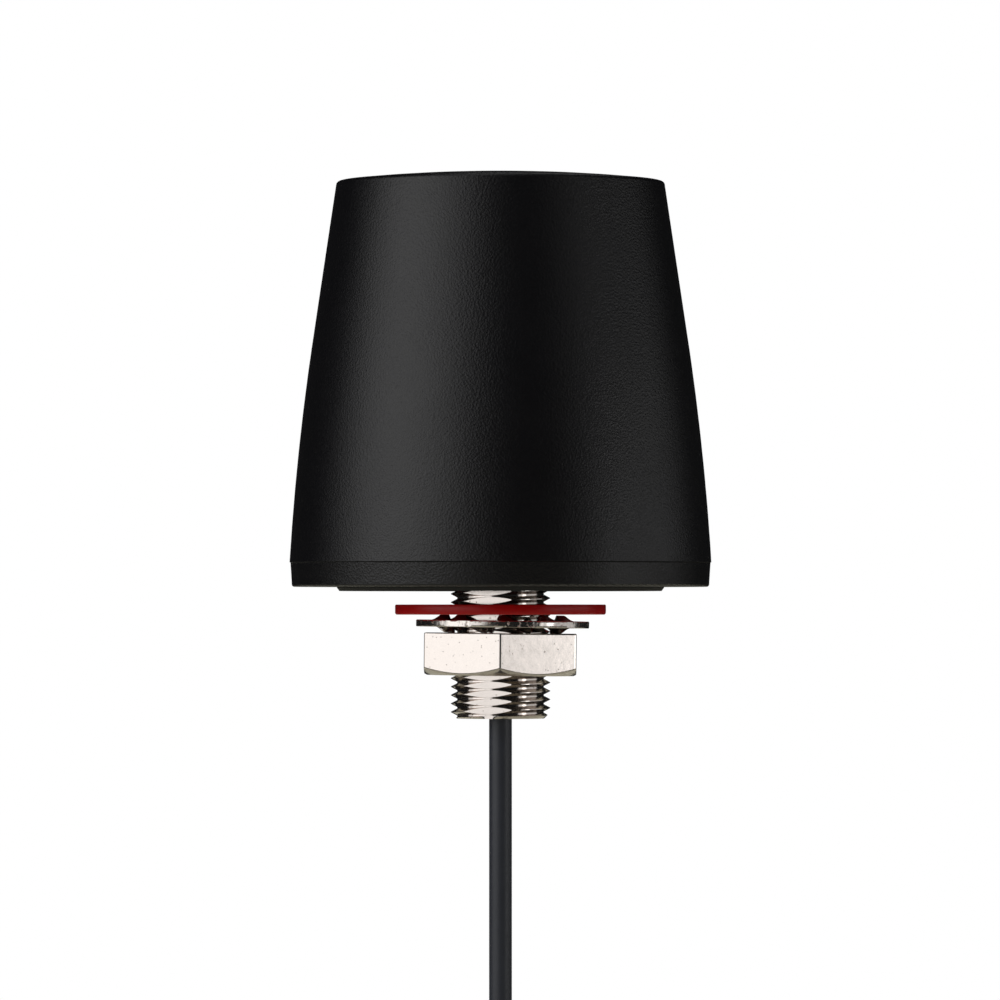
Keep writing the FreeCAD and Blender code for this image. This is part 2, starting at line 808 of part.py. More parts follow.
def make_board():
    half = [
        ("board_notch_half_width", "board_notch_top"),
        ("board_notch_half_width", plate_top),
        ("tab_centre - tab_half_width", plate_top),
        ("tab_centre - tab_half_width", plate_bottom),
        ("tab_centre + tab_half_width", plate_bottom),
        ("tab_centre + tab_half_width", plate_top),
        (f"{board_side} - board_shoulder", plate_top),
        (board_side, "board_shoulder_height"),
        (board_side, board_top),
    ]
    mirrored = [(f"-({y})", z) for y, z in reversed(half)]
    upright_sheet("antenna_board", board_front, "board_thickness", [half + mirrored])

    start = "board_notch_top + foil_gap"
    side = f"{board_side} - foil_margin"
    top = f"{board_top} - foil_margin"
    slot_bottom = f"{top} - foil_slot_length"
    right = [
        ("foil_feed_half_width", start),
        (side, "foil_flare_height"),
        (side, top),
        ("foil_slot_half_width", top),
        ("foil_slot_half_width", slot_bottom),
    ]
    left = [(f"-({y})", z) for y, z in reversed(right)]
    upright_sheet("radiator_foil", f"{board_front} - foil_thickness", "foil_thickness", [right + left])

    outer = "tab_centre + strip_width / 2"
    inner = "tab_centre - strip_width / 2"
    foot = f"{plate_top} + bracket_height + foil_gap"
    strip_top = f"{board_top} - strip_drop"
    half = [
        (inner, f"{strip_top} - strip_width"),
        (inner, foot),
        (outer, foot),
        (outer, strip_top),
    ]
    mirrored = [(f"-({y})", z) for y, z in reversed(half)]
    upright_sheet("grounding_foil", board_back, "foil_thickness", [half + mirrored])

    for name, side in (("back", -1), ("front", 1)):
        bracket = new_body(f"board_bracket_{name}")
        sketch = new_sketch(bracket, "section", "XZ_Plane", f"{side} * tab_centre")
        bend = f"{board_back} + bracket_thickness"
        tip = f"{board_back} + bracket_foot"
        outline(sketch, [
            (board_back, plate_top),
            (tip, plate_top),
            (tip, f"{plate_top} + bracket_thickness"),
            (bend, f"{plate_top} + bracket_thickness"),
            (bend, f"{plate_top} + bracket_height"),
            (board_back, f"{plate_top} + bracket_height"),
        ])
        add(bracket, "Pad", "strip", sketch, Length="bracket_width", Midplane=True)


# Coaxial feed: the lead's end inside the housing

def make_feed():
    feed = new_body("cable_feed")
    jacket_end = f"{plate_top} + jacket_end_rise"
    core_end = f"{plate_top} + core_end_rise"
    wire_end = f"{plate_top} + wire_end_rise"
    turned(
        feed, "stepped_end",
        [
            ("0", stud_end),
            ("cable_radius", stud_end),
            ("cable_radius", jacket_end),
            ("core_radius", jacket_end),
            ("core_radius", core_end),
            ("wire_radius", core_end),
            ("wire_radius", wire_end),
            ("0", wire_end),
        ],
    )
    ferrule = new_body("feed_ferrule")
    bore = "cable_radius + ferrule_clearance"
    turned(
        ferrule, "section",
        [
            (bore, plate_top),
            ("ferrule_flange_radius", plate_top),
            ("ferrule_flange_radius", f"{plate_top} + ferrule_flange_thickness"),
            ("ferrule_radius", f"{plate_top} + ferrule_flange_thickness"),
            ("ferrule_radius", f"{plate_top} + ferrule_height"),
            (bore, f"{plate_top} + ferrule_height"),
        ],
    )


# Lead outside the housing: it hangs straight below the stud, then its spare length is folded into a
# hank held by a tie. Its end passes the hank in front and hangs below it.

ARC_SHARE = 0.45


def round_route(points, diameter):
    """Straight runs joined by tangent arcs, each setback a share of the shorter run beside it."""
    corners = [Vector(*point) for point in points]
    edges, here = [], corners[0]
    for before, corner, after in zip(corners, corners[1:], corners[2:]):
        inward, outward = (corner - before), (after - corner)
        run = min(inward.Length, outward.Length)
        half_turn = inward.getAngle(outward) / 2
        radius = ARC_SHARE * run / math.tan(half_turn)
        setback = radius * math.tan(half_turn)
        start = corner - inward.normalize() * setback
        end = corner + outward.normalize() * setback
        bisector = (outward - inward).normalize()
        centre = corner + bisector * (radius / math.cos(half_turn))
        middle = centre - bisector * radius
        edges.append(Part.LineSegment(here, start).toShape())
        edges.append(Part.Arc(start, middle, end).toShape())
        print(f"cable arc radius {radius:.1f} mm, {radius / diameter:.1f} diameters")
        here = end
    edges.append(Part.LineSegment(here, corners[-1]).toShape())
    return Part.Wire(edges)


def make_hank():
    thickness = "2 * hank_half_thickness"
    upper = "(hank_top - hank_loop_radius)"
    lower = f"({upper} - hank_loop_spacing)"
    hank = new_body("cable_hank")
    for name, level in (("upper", upper), ("lower", lower)):
        plan = circle(new_sketch(hank, f"{name}_plan", "XZ_Plane"), "0", level, "hank_loop_radius")
        add(hank, "Pad", f"{name}_loops", plan, Length=thickness, Midplane=True)
    waist_plan = outline(new_sketch(hank, "waist_plan", "XZ_Plane"), [
        ("-hank_waist_half_width", lower),
        ("hank_waist_half_width", lower),
        ("hank_waist_half_width", upper),
        ("-hank_waist_half_width", upper),
    ])
    add(hank, "Pad", "waist", waist_plan, Length=thickness, Midplane=True)

    tie = new_body("hank_tie")
    middle = f"({upper} - hank_loop_spacing / 2)"
    plan = new_sketch(tie, "plan", "XY_Plane", f"{middle} - tie_width / 2")
    for tag, extra in (("inner", "tie_clearance"), ("outer", "tie_clearance + tie_thickness")):
        x, y = f"(hank_waist_half_width + {extra})", f"(hank_half_thickness + {extra})"
        outline(plan, [(f"-{x}", f"-{y}"), (x, f"-{y}"), (x, y), (f"-{x}", y)], tag=tag)
    band = add(tie, "Pad", "band", plan, Length="tie_width")
    reach = value_of("hank_waist_half_width + tie_clearance + tie_thickness")

    def outer_corner(edge, middle_point):
        upright = abs(edge.tangentAt(edge.FirstParameter).z) > 0.999
        return upright and abs(abs(middle_point.x) - reach) < 1e-4

    dress(tie, "Fillet", "corners", band, outer_corner, "tie_thickness")


def make_cable():
    radius = value_of("cable_radius")
    route = [
        (0.0, 0.0, value_of(stud_end)),
        (0.0, 0.0, -56.0),
        (-3.0, -3.8, -66.0),
        (-5.5, -5.4, -76.0),
    ]
    path = round_route(route, 2 * radius)
    section = Part.Face(Part.Wire(Part.Circle(Vector(*route[0]), Vector(0, 0, 1), radius).toShape()))
    tube = path.makePipe(section)
    ideal = math.pi * radius**2 * path.Length
    print(f"cable tube volume over section times length: {tube.Volume / ideal:.5f}")
    lead = document.addObject("Part::Feature", "coax_cable")
    lead.Shape = tube.cut(nodes["cable_hank"].Shape).Solids[0]
    lead.Label = "coax_cable"
    nodes["coax_cable"] = lead

    whole_tail = new_body("tail_run", node=False)
    lower = "(hank_top - hank_loop_radius - hank_loop_spacing)"
    plan = new_sketch(whole_tail, "plan", "XY_Plane", "tail_end")
    circle(plan, "0", "-tail_forward", "cable_radius")
    add(whole_tail, "Pad", "run", plan, Length=f"{lower} - tail_end")
    boolean("Cut", "cable_tail", whole_tail, [nodes["cable_hank"]])


# Plug: a crimped coaxial plug whose hexagonal coupling nut spins on a snap ring. Heights are given
# down from the sleeve's top, at the end of the tail, and its axis is the tail's.

def make_plug():
    sleeve_end = "(tail_end - sleeve_length)"
    crimp_top = f"({sleeve_end} + crimp_length)"
    stem_top = f"({crimp_top} + stem_extra)"
    shoulder_end = f"({sleeve_end} - shoulder_length)"
    mating_plane = f"({shoulder_end} - plug_neck_length)"
    crimp_inner = "(crimp_stem_radius + crimp_clearance)"
    crimp_outer = f"({crimp_inner} + crimp_thickness)"
    insulator_top = f"({mating_plane} + insulator_length)"
    contact_top = f"({insulator_top} + contact_tail)"
    wire_end = f"({contact_top} - wire_insertion)"

    def plug_piece(label, corners, arcs=None):
        body = new_body(label)
        form = turned(body, "form", corners, arcs)
        body.setExpression("Placement.Base.y", linked("-tail_forward"))
        return form

    neck_outer = "cable_radius + crimp_clearance + sleeve_thickness"
    cover_outer = f"{crimp_outer} + crimp_clearance + sleeve_thickness"
    neck_end = "(tail_end - sleeve_neck)"
    plug_piece("plug_sleeve", [
        ("cable_radius + crimp_clearance", "tail_end"),
        ("cable_radius + crimp_clearance", neck_end),
        (f"{crimp_outer} + crimp_clearance", f"{neck_end} - sleeve_taper"),
        (f"{crimp_outer} + crimp_clearance", sleeve_end),
        (cover_outer, sleeve_end),
        (cover_outer, f"{neck_end} - sleeve_taper"),
        (neck_outer, neck_end),
        (neck_outer, "tail_end"),
    ])
    plug_piece("crimp_ferrule", [
        (crimp_inner, sleeve_end),
        (crimp_outer, sleeve_end),
        (crimp_outer, crimp_top),
        (crimp_inner, crimp_top),
    ])
    plug_piece("cable_plug_end", [
        ("0", "tail_end"),
        ("0", wire_end),
        ("wire_radius", wire_end),
        ("wire_radius", sleeve_end),
        ("core_radius", sleeve_end),
        ("core_radius", f"{stem_top} + crimp_clearance"),
        ("cable_radius", f"{stem_top} + crimp_clearance"),
        ("cable_radius", "tail_end"),
    ])
    groove_low = f"({shoulder_end} - ring_groove_rise - ring_thickness - contact_fit)"
    groove_high = f"({shoulder_end} - ring_groove_rise + contact_fit)"
    groove_radius = "plug_neck_radius - ring_groove_depth"
    cell_radius = "insulator_radius + contact_fit"
    bore = "contact_radius + contact_fit"
    plug_piece("plug_body", [
        ("core_radius + contact_fit", stem_top),
        ("crimp_stem_radius", stem_top),
        ("crimp_stem_radius", sleeve_end),
        ("shoulder_radius", sleeve_end),
        ("shoulder_radius", shoulder_end),
        ("plug_neck_radius", shoulder_end),
        ("plug_neck_radius", groove_high),
        (groove_radius, groove_high),
        (groove_radius, groove_low),
        ("plug_neck_radius", groove_low),
        ("plug_neck_radius", mating_plane),
        (cell_radius, mating_plane),
        (cell_radius, insulator_top),
        (bore, insulator_top),
        (bore, sleeve_end),
        ("core_radius + contact_fit", sleeve_end),
    ])
    ring_form = plug_piece("snap_ring", [
        (f"{groove_radius} + contact_fit", f"{groove_low} + contact_fit"),
        ("plug_neck_radius + ring_reach", f"{groove_low} + contact_fit"),
        ("plug_neck_radius + ring_reach", f"{groove_high} - contact_fit"),
        (f"{groove_radius} + contact_fit", f"{groove_high} - contact_fit"),
    ])
    ring_form.setExpression("Angle", linked("360 - ring_gap_angle"))
    plug_piece("plug_insulator", [
        ("contact_radius + contact_fit", mating_plane),
        ("insulator_radius", mating_plane),
        ("insulator_radius", f"{insulator_top} - contact_fit"),
        ("contact_radius + contact_fit", f"{insulator_top} - contact_fit"),
    ])
    socket = "wire_radius + contact_fit"
    plug_piece("centre_contact", [
        ("0", f"{mating_plane} - pin_length"),
        ("pin_radius / 2", f"{mating_plane} - pin_length"),
        ("pin_radius", f"{mating_plane} - pin_length + pin_radius"),
        ("pin_radius", mating_plane),
        ("contact_radius", mating_plane),
        ("contact_radius", contact_top),
        (socket, contact_top),
        (socket, f"{wire_end} - contact_fit"),
        ("0", f"{wire_end} - contact_fit"),
    ])
    nut_back = f"({shoulder_end} - coupling_clearance)"
    nut_front = f"({nut_back} - coupling_length)"
    wall_end = f"({nut_back} - coupling_wall)"
    seal_top = f"({wall_end} - coupling_clearance)"
    seal_outer = "coupling_thread_radius - coupling_clearance"
    plug_piece("plug_seal", [
        ("plug_neck_radius + contact_fit", seal_top),
        (seal_outer, seal_top),
        (seal_outer, f"{seal_top} - plug_seal_length"),
        ("plug_neck_radius + contact_fit", f"{seal_top} - plug_seal_length"),
    ])

    coupling = new_body("coupling_nut")
    plan = new_sketch(coupling, "plan", "XY_Plane", f"{nut_front} + coupling_collar")
    hexagon(plan, "coupling_flats")
    add(coupling, "Pad", "hexagon", plan, Length="coupling_length - 2 * coupling_collar")
    turned(
        coupling, "collars",
        [
            ("0", nut_front),
            ("coupling_collar_radius", nut_front),
            ("coupling_collar_radius", nut_back),
            ("0", nut_back),
        ],
    )
    groove = "plug_neck_radius + ring_reach + coupling_clearance"
    neck = "plug_neck_radius + coupling_clearance"
    turned(
        coupling, "bore",
        [
            ("0", nut_front),
            ("coupling_thread_radius", nut_front),
            ("coupling_thread_radius", wall_end),
            (neck, wall_end),
            (neck, f"{groove_low} - coupling_clearance"),
            (groove, f"{groove_low} - coupling_clearance"),
            (groove, f"{groove_high} + coupling_clearance"),
            (neck, f"{groove_high} + coupling_clearance"),
            (neck, nut_back),
            ("0", nut_back),
        ],
        cut=True,
    )
    coupling.setExpression("Placement.Base.y", linked("-tail_forward"))
    print(f"plug's mating plane at z = {value_of(mating_plane):.2f} mm")


def write_parts():
    """Check every object, then write each node's shape to its own file."""
    document.recompute()
    for item in document.Objects:
        if "Invalid" in item.State or "Error" in item.State:
            raise RuntimeError(f"{item.Label} failed: {item.State}")
    os.makedirs("parts", exist_ok=True)
    for label, item in nodes.items():
        shape = item.Shape
        if shape.isNull() or not shape.isValid() or not shape.Solids:
            raise RuntimeError(f"{label} has no valid solid")
        shape.exportStep(os.path.join("parts", f"{label}.step"))
        box = shape.optimalBoundingBox(True, False)
        low = f"({box.XMin:.2f}, {box.YMin:.2f}, {box.ZMin:.2f})"
        high = f"({box.XMax:.2f}, {box.YMax:.2f}, {box.ZMax:.2f})"
        print(f"{label}: {len(shape.Solids)} solid(s), {shape.Volume:.1f} mm3, {low} to {high}")
    print(f"{len(nodes)} nodes")


make_radome()
make_base()
make_seals()
make_stud()
make_red_washer()
make_lock_washer()
make_nut()
make_ground_plate()
make_screws()
make_board()
make_feed()
make_hank()
make_cable()
make_plug()
write_parts()
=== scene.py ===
# %% [markdown]
# # A stud-mounted cellular antenna
# The real object is a black moulded housing, 50 mm across, with a soft gasket beneath. A nickel-plated
# stud goes down from it and carries a red insulating washer, a lock washer with twisted teeth and a
# hexagon nut. A thin coaxial lead leaves through the stud's bore.
#
# This lesson dresses an exact model of its pieces. Some keep their own shape and only get a finish.
# The ones that carry the looks, such as the thread and the twisted teeth, are worked out here as
# surfaces, each a formula of two parameters on a grid.

# %% Load the exact model
import math

import bmesh
import bpy
import numpy as np
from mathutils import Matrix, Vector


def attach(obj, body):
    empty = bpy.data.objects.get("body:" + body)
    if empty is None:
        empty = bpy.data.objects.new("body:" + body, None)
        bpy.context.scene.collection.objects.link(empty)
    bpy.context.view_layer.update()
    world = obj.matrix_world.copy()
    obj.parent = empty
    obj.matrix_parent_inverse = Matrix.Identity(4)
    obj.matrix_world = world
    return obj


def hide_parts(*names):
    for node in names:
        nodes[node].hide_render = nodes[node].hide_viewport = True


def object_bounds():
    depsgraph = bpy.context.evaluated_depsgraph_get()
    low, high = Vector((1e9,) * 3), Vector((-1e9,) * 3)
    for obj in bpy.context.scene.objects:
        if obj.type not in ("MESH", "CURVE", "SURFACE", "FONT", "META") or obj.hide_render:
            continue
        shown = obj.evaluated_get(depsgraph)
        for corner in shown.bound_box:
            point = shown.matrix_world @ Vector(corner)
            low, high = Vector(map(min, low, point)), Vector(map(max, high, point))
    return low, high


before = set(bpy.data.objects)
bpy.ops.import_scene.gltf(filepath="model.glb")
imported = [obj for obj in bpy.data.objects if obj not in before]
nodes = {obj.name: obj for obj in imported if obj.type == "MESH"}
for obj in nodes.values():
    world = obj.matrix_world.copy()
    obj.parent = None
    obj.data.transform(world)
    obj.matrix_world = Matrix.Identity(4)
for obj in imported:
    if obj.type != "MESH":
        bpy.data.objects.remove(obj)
cad_box = [list(corner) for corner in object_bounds()]
scene = bpy.context.scene
MM = 0.001
print(len(nodes), "nodes; box", [[round(value / MM, 2) for value in corner] for corner in cad_box], "mm")

# %% [markdown]
# ## Camera
# The photo is a level product shot through a long lens, so verticals stay upright and ellipses are
# nearly flat. The camera stands 900 mm in front and 2 mm below the gasket. It looks level, and a shift
# of the film brings the housing into the frame, as a view camera does.

# %% Camera
CAMERA_DISTANCE, CAMERA_LEVEL = 900 * MM, -2 * MM
FOCAL_LENGTH, FILM_WIDTH = 273.3, 36.0
PICTURE_WIDTH = 1000
camera_data = bpy.data.cameras.new("photo_camera")
camera_data.lens = FOCAL_LENGTH
camera_data.sensor_width = FILM_WIDTH
camera_data.shift_x, camera_data.shift_y = -0.0005, 0.1079
camera_data.clip_start, camera_data.clip_end = 0.05, 20.0
camera = bpy.data.objects.new("photo_camera", camera_data)
camera.location = (0.0, -CAMERA_DISTANCE, CAMERA_LEVEL)
camera.rotation_euler = (math.radians(90), 0.0, 0.0)
scene.collection.objects.link(camera)
scene.camera = camera
pixels_per_mm = PICTURE_WIDTH * FOCAL_LENGTH / FILM_WIDTH * MM / CAMERA_DISTANCE
print("one millimetre at the axis is", round(pixels_per_mm, 3), "pixels")

# %% [markdown]
# ## Colours and nodes
# Paint and plastic colours are written as they look on a screen, in hex. A shader needs them in linear
# light, so one function turns them. Another adds a node with its settings and its links, so that each
# material below reads as a short list of what happens on the surface.

# %% Two helpers for every material
def linear(code):
    """sRGB hex to linear: c / 12.92 in the dark part, ((c + 0.055) / 1.055) ** 2.4 above it."""
    parts = [int(code[i:i + 2], 16) / 255 for i in (1, 3, 5)]
    return [c / 12.92 if c <= 0.04045 else ((c + 0.055) / 1.055) ** 2.4 for c in parts] + [1.0]


def add(tree, kind, inputs=None, **settings):
    """Add a node; each input is a number, a colour, or the output socket that feeds it."""
    node = tree.nodes.new("ShaderNode" + kind)
    for key, value in settings.items():
        setattr(node, key, value)
    for key, value in (inputs or {}).items():
        if isinstance(value, bpy.types.NodeSocket):
            tree.links.new(value, node.inputs[key])
        else:
            node.inputs[key].default_value = value
    return node


def finish(name, **sockets):
    """A new material with its surface shader's sockets set, and its node tree."""
    made = bpy.data.materials.new(name)
    made.use_nodes = True
    surface = made.node_tree.nodes["Principled BSDF"]
    for key, value in sockets.items():
        surface.inputs[key.replace("_", " ").title().replace("Ior", "IOR")].default_value = value
    return made, made.node_tree, surface


print("white in linear light:", linear("#ffffff")[:3])


# %% [markdown]
# ## Studio
# Soft light on a satin black cone shows as two tall streaks. On the real housing the broad one is left
# of the middle and the faint one near the right edge. So a large scrim stands well to the left, with a
# brighter core, and narrow boxes almost square to the right. Between them is nothing, which gives the
# dark streak. Bright metal shows each box as a patch of its own, so small boxes complete the thread and
# the chamfers. The background is white to the eye alone: a bright room would fill the dark streak.
#
# The part hangs over a pale table of opal acrylic, as product photographers use. Its finish glows a little
# by itself, as a table lit from beneath would, and this lights the chamfers that look down.

# %% Background and floor
world = bpy.data.worlds.new("studio")
world.use_nodes = True
scene.world = world
tree = world.node_tree
tree.nodes.clear()
white = add(tree, "Background", {"Color": (1, 1, 1, 1), "Strength": 1.0})
dim = add(tree, "Background", {"Color": linear("#8f9296"), "Strength": 0.04})
eye = add(tree, "LightPath")
seen = add(tree, "MixShader", {0: eye.outputs["Is Camera Ray"], 1: dim.outputs[0], 2: white.outputs[0]})
add(tree, "OutputWorld", {"Surface": seen.outputs[0]})
scene.view_settings.view_transform = "Standard"

FLOOR_LEVEL = cad_box[0][2] - 0.4 * MM
FLOOR_RADIUS, FLOOR_CORNERS = 0.55, 96
TABLE_GLOW = 0.17
floor_mesh = bpy.data.meshes.new("floor")
around = np.linspace(0, 2 * math.pi, FLOOR_CORNERS, endpoint=False)
levels = np.full(FLOOR_CORNERS, FLOOR_LEVEL)
rim = np.stack([FLOOR_RADIUS * np.cos(around), FLOOR_RADIUS * np.sin(around), levels], 1)
floor_mesh.from_pydata(rim.tolist(), [], [list(range(FLOOR_CORNERS))])
floor = bpy.data.objects.new("floor", floor_mesh)
scene.collection.objects.link(floor)
floor_finish, tree, surface = finish("opal_acrylic_table", base_color=linear("#e0dcc4"), roughness=0.75,
                                     emission_color=linear("#e0dcc4"), emission_strength=TABLE_GLOW)
where = add(tree, "TexCoord").outputs["Object"]
mottle = add(tree, "TexNoise", {"Vector": where, "Scale": 9.0, "Detail": 4.0})
shade = add(tree, "Mix", {0: mottle.outputs[0], 6: linear("#e0dcc4"), 7: linear("#e6e3d2")}, data_type="RGBA")
tree.links.new(shade.outputs[2], surface.inputs["Base Color"])
floor_mesh.materials.append(floor_finish)
print("floor at", round(FLOOR_LEVEL / MM, 1), "mm")


# %% Lights
def soft_box(name, azimuth, distance, height, aim, width, tall, power):
    """A rectangular lamp that faces the axis at the aimed height, all in metres and watts.

    Its azimuth is in degrees to the right of the camera, and it dips by atan((height - aim) / distance).
    """
    lamp = bpy.data.lights.new(name, "AREA")
    lamp.shape, lamp.size, lamp.size_y = "RECTANGLE", width, tall
    lamp.energy = power
    stand = bpy.data.objects.new(name, lamp)
    turn = math.radians(azimuth)
    stand.location = (distance * math.sin(turn), -distance * math.cos(turn), height)
    rise = math.atan2(height - aim, distance)
    stand.rotation_euler = (math.pi / 2 - rise, 0.0, turn)
    scene.collection.objects.link(stand)
    return stand


# name, azimuth, distance, height, aimed height, width, tallness, power
boxes = [
    ("left_scrim", -58.5, 1.1, 0.345, 0.345, 1.64, 0.85, 4.10),  # the broad streak
    ("left_core", -61, 1.0, 0.27, 0.27, 0.66, 0.70, 0.86),  # its bright middle
    ("left_inner", -33, 1.0, 0.02, 0.02, 0.24, 0.20, 0.058),  # the streak's soft inner edge
    ("right_near", 62, 1.1, 0.01, 0.01, 0.50, 0.22, 0.30),  # the nut's right face
    ("right_core", 66, 1.1, 0.01, 0.01, 0.20, 0.22, 0.27),  # the thread's right band
    ("right_far", 94, 1.1, 0.10, 0.10, 0.72, 0.34, 0.52),  # the faint streak
    ("upper_left", -28, 0.9, 0.75, 0.04, 0.50, 0.35, 0.40),  # top of the left streak
    ("upper_right", 56, 1.1, 0.60, 0.04, 0.75, 0.35, 0.32),  # top of the right one
    ("back_top", 150, 0.55, 1.15, 0.0, 0.9, 0.5, 1.3),  # the dome's edge
    ("floor_light", 180, 0.55, 0.45, -0.884, 0.6, 0.4, 0.12),  # the floor behind, for the chamfers
    ("top_box", -20, 0.5, 1.30, 0.0, 0.9, 0.5, 1.6),  # the dome and the washers
]
lamps = {row[0]: soft_box(*row) for row in boxes}
lamps["floor_light"].data.spread = math.radians(28)  # kept off the housing
print(len(lamps), "soft boxes")


# %% [markdown]
# ## Rings of sections
# Nearly every piece on the stud is a ring: its section closes on itself and is carried once round the
# axis. So one grid of points does for all of them, with rows along the section and columns round the
# axis. The last column lies on the first one, and where a thread runs out its rows fall together, so
# merging the doubles closes every piece.

# %% From a grid of points to a closed piece
MERGE_DISTANCE = 2e-7
WHOLE_TURN = 2 * math.pi


def place(name, vertices, faces, body="antenna", sharp=35.0, weave=None):
    """Put points in mm into a mesh at its place, smooth but for edges sharper than the angle.

    Points that lie together are merged and the faces turned outwards. The count of edges that don't
    have two faces is printed, and it is nought for a closed piece.
    """
    mesh = bpy.data.meshes.new(name)
    mesh.from_pydata((np.asarray(vertices) * MM).tolist(), [], np.asarray(faces).tolist())
    if weave is not None:
        mesh.attributes.new("weave", "FLOAT_VECTOR", "POINT").data.foreach_set("vector", weave.ravel())
    work = bmesh.new()
    work.from_mesh(mesh)
    bmesh.ops.remove_doubles(work, verts=work.verts, dist=MERGE_DISTANCE)
    bmesh.ops.dissolve_degenerate(work, edges=work.edges, dist=MERGE_DISTANCE / 2)
    bmesh.ops.recalc_face_normals(work, faces=work.faces)
    open_edges = sum(1 for edge in work.edges if len(edge.link_faces) != 2)
    work.to_mesh(mesh)
    work.free()
    mesh.shade_smooth()
    mesh.set_sharp_from_angle(angle=math.radians(sharp))
    piece = bpy.data.objects.new(name, mesh)
    scene.collection.objects.link(piece)
    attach(piece, body)
    print(name, len(mesh.polygons), "faces, open edges", open_edges)
    return piece


def ring_faces(rows, columns):
    """Quads of a grid whose rows close on themselves; its last column lies on the first one."""
    index = np.arange(rows * columns).reshape(rows, columns)
    down = np.roll(index, -1, 0)
    return np.stack([index[:, :-1], index[:, 1:], down[:, 1:], down[:, :-1]], -1).reshape(-1, 4)


def full_turn(angles):
    """Sorted angles of one turn, with both ends of it."""
    inside = np.asarray(angles).ravel() % WHOLE_TURN
    return np.concatenate([[0.0], np.unique(np.round(inside[inside > 1e-4], 9)), [WHOLE_TURN]])


def ring(name, radius, angle, height, **choices):
    """A closed ring from three equal grids: its points are (r cos a, r sin a, z)."""
    points = np.stack([radius * np.cos(angle), radius * np.sin(angle), height], -1)
    return place(name, points.reshape(-1, 3), ring_faces(*radius.shape), **choices)


def tilted(piece, about, degrees):
    """Turn the mesh's points about a line along Y through a point in mm, so that the left side rises.

    x = x0 + dx cos t + dz sin t and z = z0 - dx sin t + dz cos t, for the distances dx, dz from the point.
    """
    flat = np.empty(len(piece.data.vertices) * 3, np.float32)
    piece.data.vertices.foreach_get("co", flat)
    points, pivot = flat.reshape(-1, 3), np.array(about) * MM
    turn, away = math.radians(degrees), points - pivot
    points[:, 0] = pivot[0] + away[:, 0] * math.cos(turn) + away[:, 2] * math.sin(turn)
    points[:, 2] = pivot[2] - away[:, 0] * math.sin(turn) + away[:, 2] * math.cos(turn)
    piece.data.vertices.foreach_set("co", points.ravel())
    piece.data.update()


# %% [markdown]
# ## The threaded stud
# The stud is turned brass with an M12 thread of 1 mm pitch, then one flat is milled along it and the
# whole is nickel plated. A screw thread can be swept, or cut by a boolean, but both leave ragged ends.
# Here the radius is a formula of angle and height: the smallest of the thread, the milled flat and
# the chamfer at the end. The grid's rows climb with the helix and bend round each milled patch, so every
# edge is one clean row.

# %% Thread, flat and hexagon as radii
PITCH, CREST_RADIUS, THREAD_DEPTH = 1.0, 5.88, 0.75
HALF_CREST, FLANK_SLOPE = 0.035, 1.95
ROOT_PLACE = HALF_CREST + THREAD_DEPTH / FLANK_SLOPE
CREST_START = 0.16
FLAT_DISTANCE, FLAT_TURN = 5.16, math.radians(270 - 15.6)
FAR_OFF = 99.0
NEAR_FLAT = 0.5  # the cosine of 60 degrees, past which the milled plane is out of reach


def thread_radius(angle, height):
    """Crest radius less s (d - c), for d mm from the crest's middle, half its width c and the slope s."""
    phase = (height - CREST_START) / PITCH - angle / WHOLE_TURN
    off = PITCH * np.abs(phase - np.round(phase))
    return CREST_RADIUS - np.clip((off - HALF_CREST) * FLANK_SLOPE, 0.0, THREAD_DEPTH)


def flat_radius(angle):
    """Distance of the milled plane along each direction: d / cos(a - a0), and far off behind it."""
    across = np.cos(angle - FLAT_TURN)
    return np.where(across > NEAR_FLAT, FLAT_DISTANCE / np.maximum(across, NEAR_FLAT), FAR_OFF)


def hexagon_radius(angle, flats, rounding, corner=0.0):
    """Half the flats over cos(a) on a side, and an arc of the rounding's radius at each corner.

    A corner's arc has its centre at h on the corner's line, so at the angle b from that line it lies at
    h cos(b) + sqrt(r^2 - (h sin(b))^2).
    """
    apart = np.abs((angle - corner + math.pi / 6) % (math.pi / 3) - math.pi / 6)
    from_side = math.pi / 6 - apart
    heart = (flats / 2 - rounding) / math.cos(math.pi / 6)
    side = flats / 2 / np.cos(from_side)
    arc = heart * np.cos(apart) + np.sqrt(np.maximum(rounding**2 - (heart * np.sin(apart)) ** 2, 0.0))
    return np.where(from_side < math.atan(heart * 0.5 / (flats / 2)), side, arc)


def climbing_rows(bottom, top, angle, cut=FAR_OFF):
    """Heights of rows that rise one pitch each turn, held between two levels.

    In each pitch they stand at the crest's middle, at its edge or at the edge of the patch that a cut at
    that radius leaves, which is c + (crest - cut) / slope, then in steps down the flank to the root.
    """
    edge = HALF_CREST + (CREST_RADIUS - cut) / FLANK_SLOPE
    patch = np.clip(edge, HALF_CREST, ROOT_PLACE - 0.004) + 0.0 * angle
    flank, zero = ROOT_PLACE - patch, 0 * patch
    half = [zero, patch / 2, patch, patch + flank / 4, patch + flank / 2, patch + flank * 0.75,
            ROOT_PLACE + zero, 0.5 * (ROOT_PLACE + 0.5) + zero, 0.5 + zero]
    places = np.stack(half + [1 - step for step in half[-2:0:-1]])
    first, last = math.floor(bottom / PITCH) - 2, math.ceil(top / PITCH) + 1
    pitches = np.arange(first, last)[:, None, None]
    steps = (pitches + places[None]).reshape(-1, len(angle)) * PITCH + CREST_START
    return np.clip(steps + PITCH * angle / WHOLE_TURN, bottom, top)


print("thread", THREAD_DEPTH, "mm deep; the root starts", round(ROOT_PLACE, 3), "mm from the crest's middle")

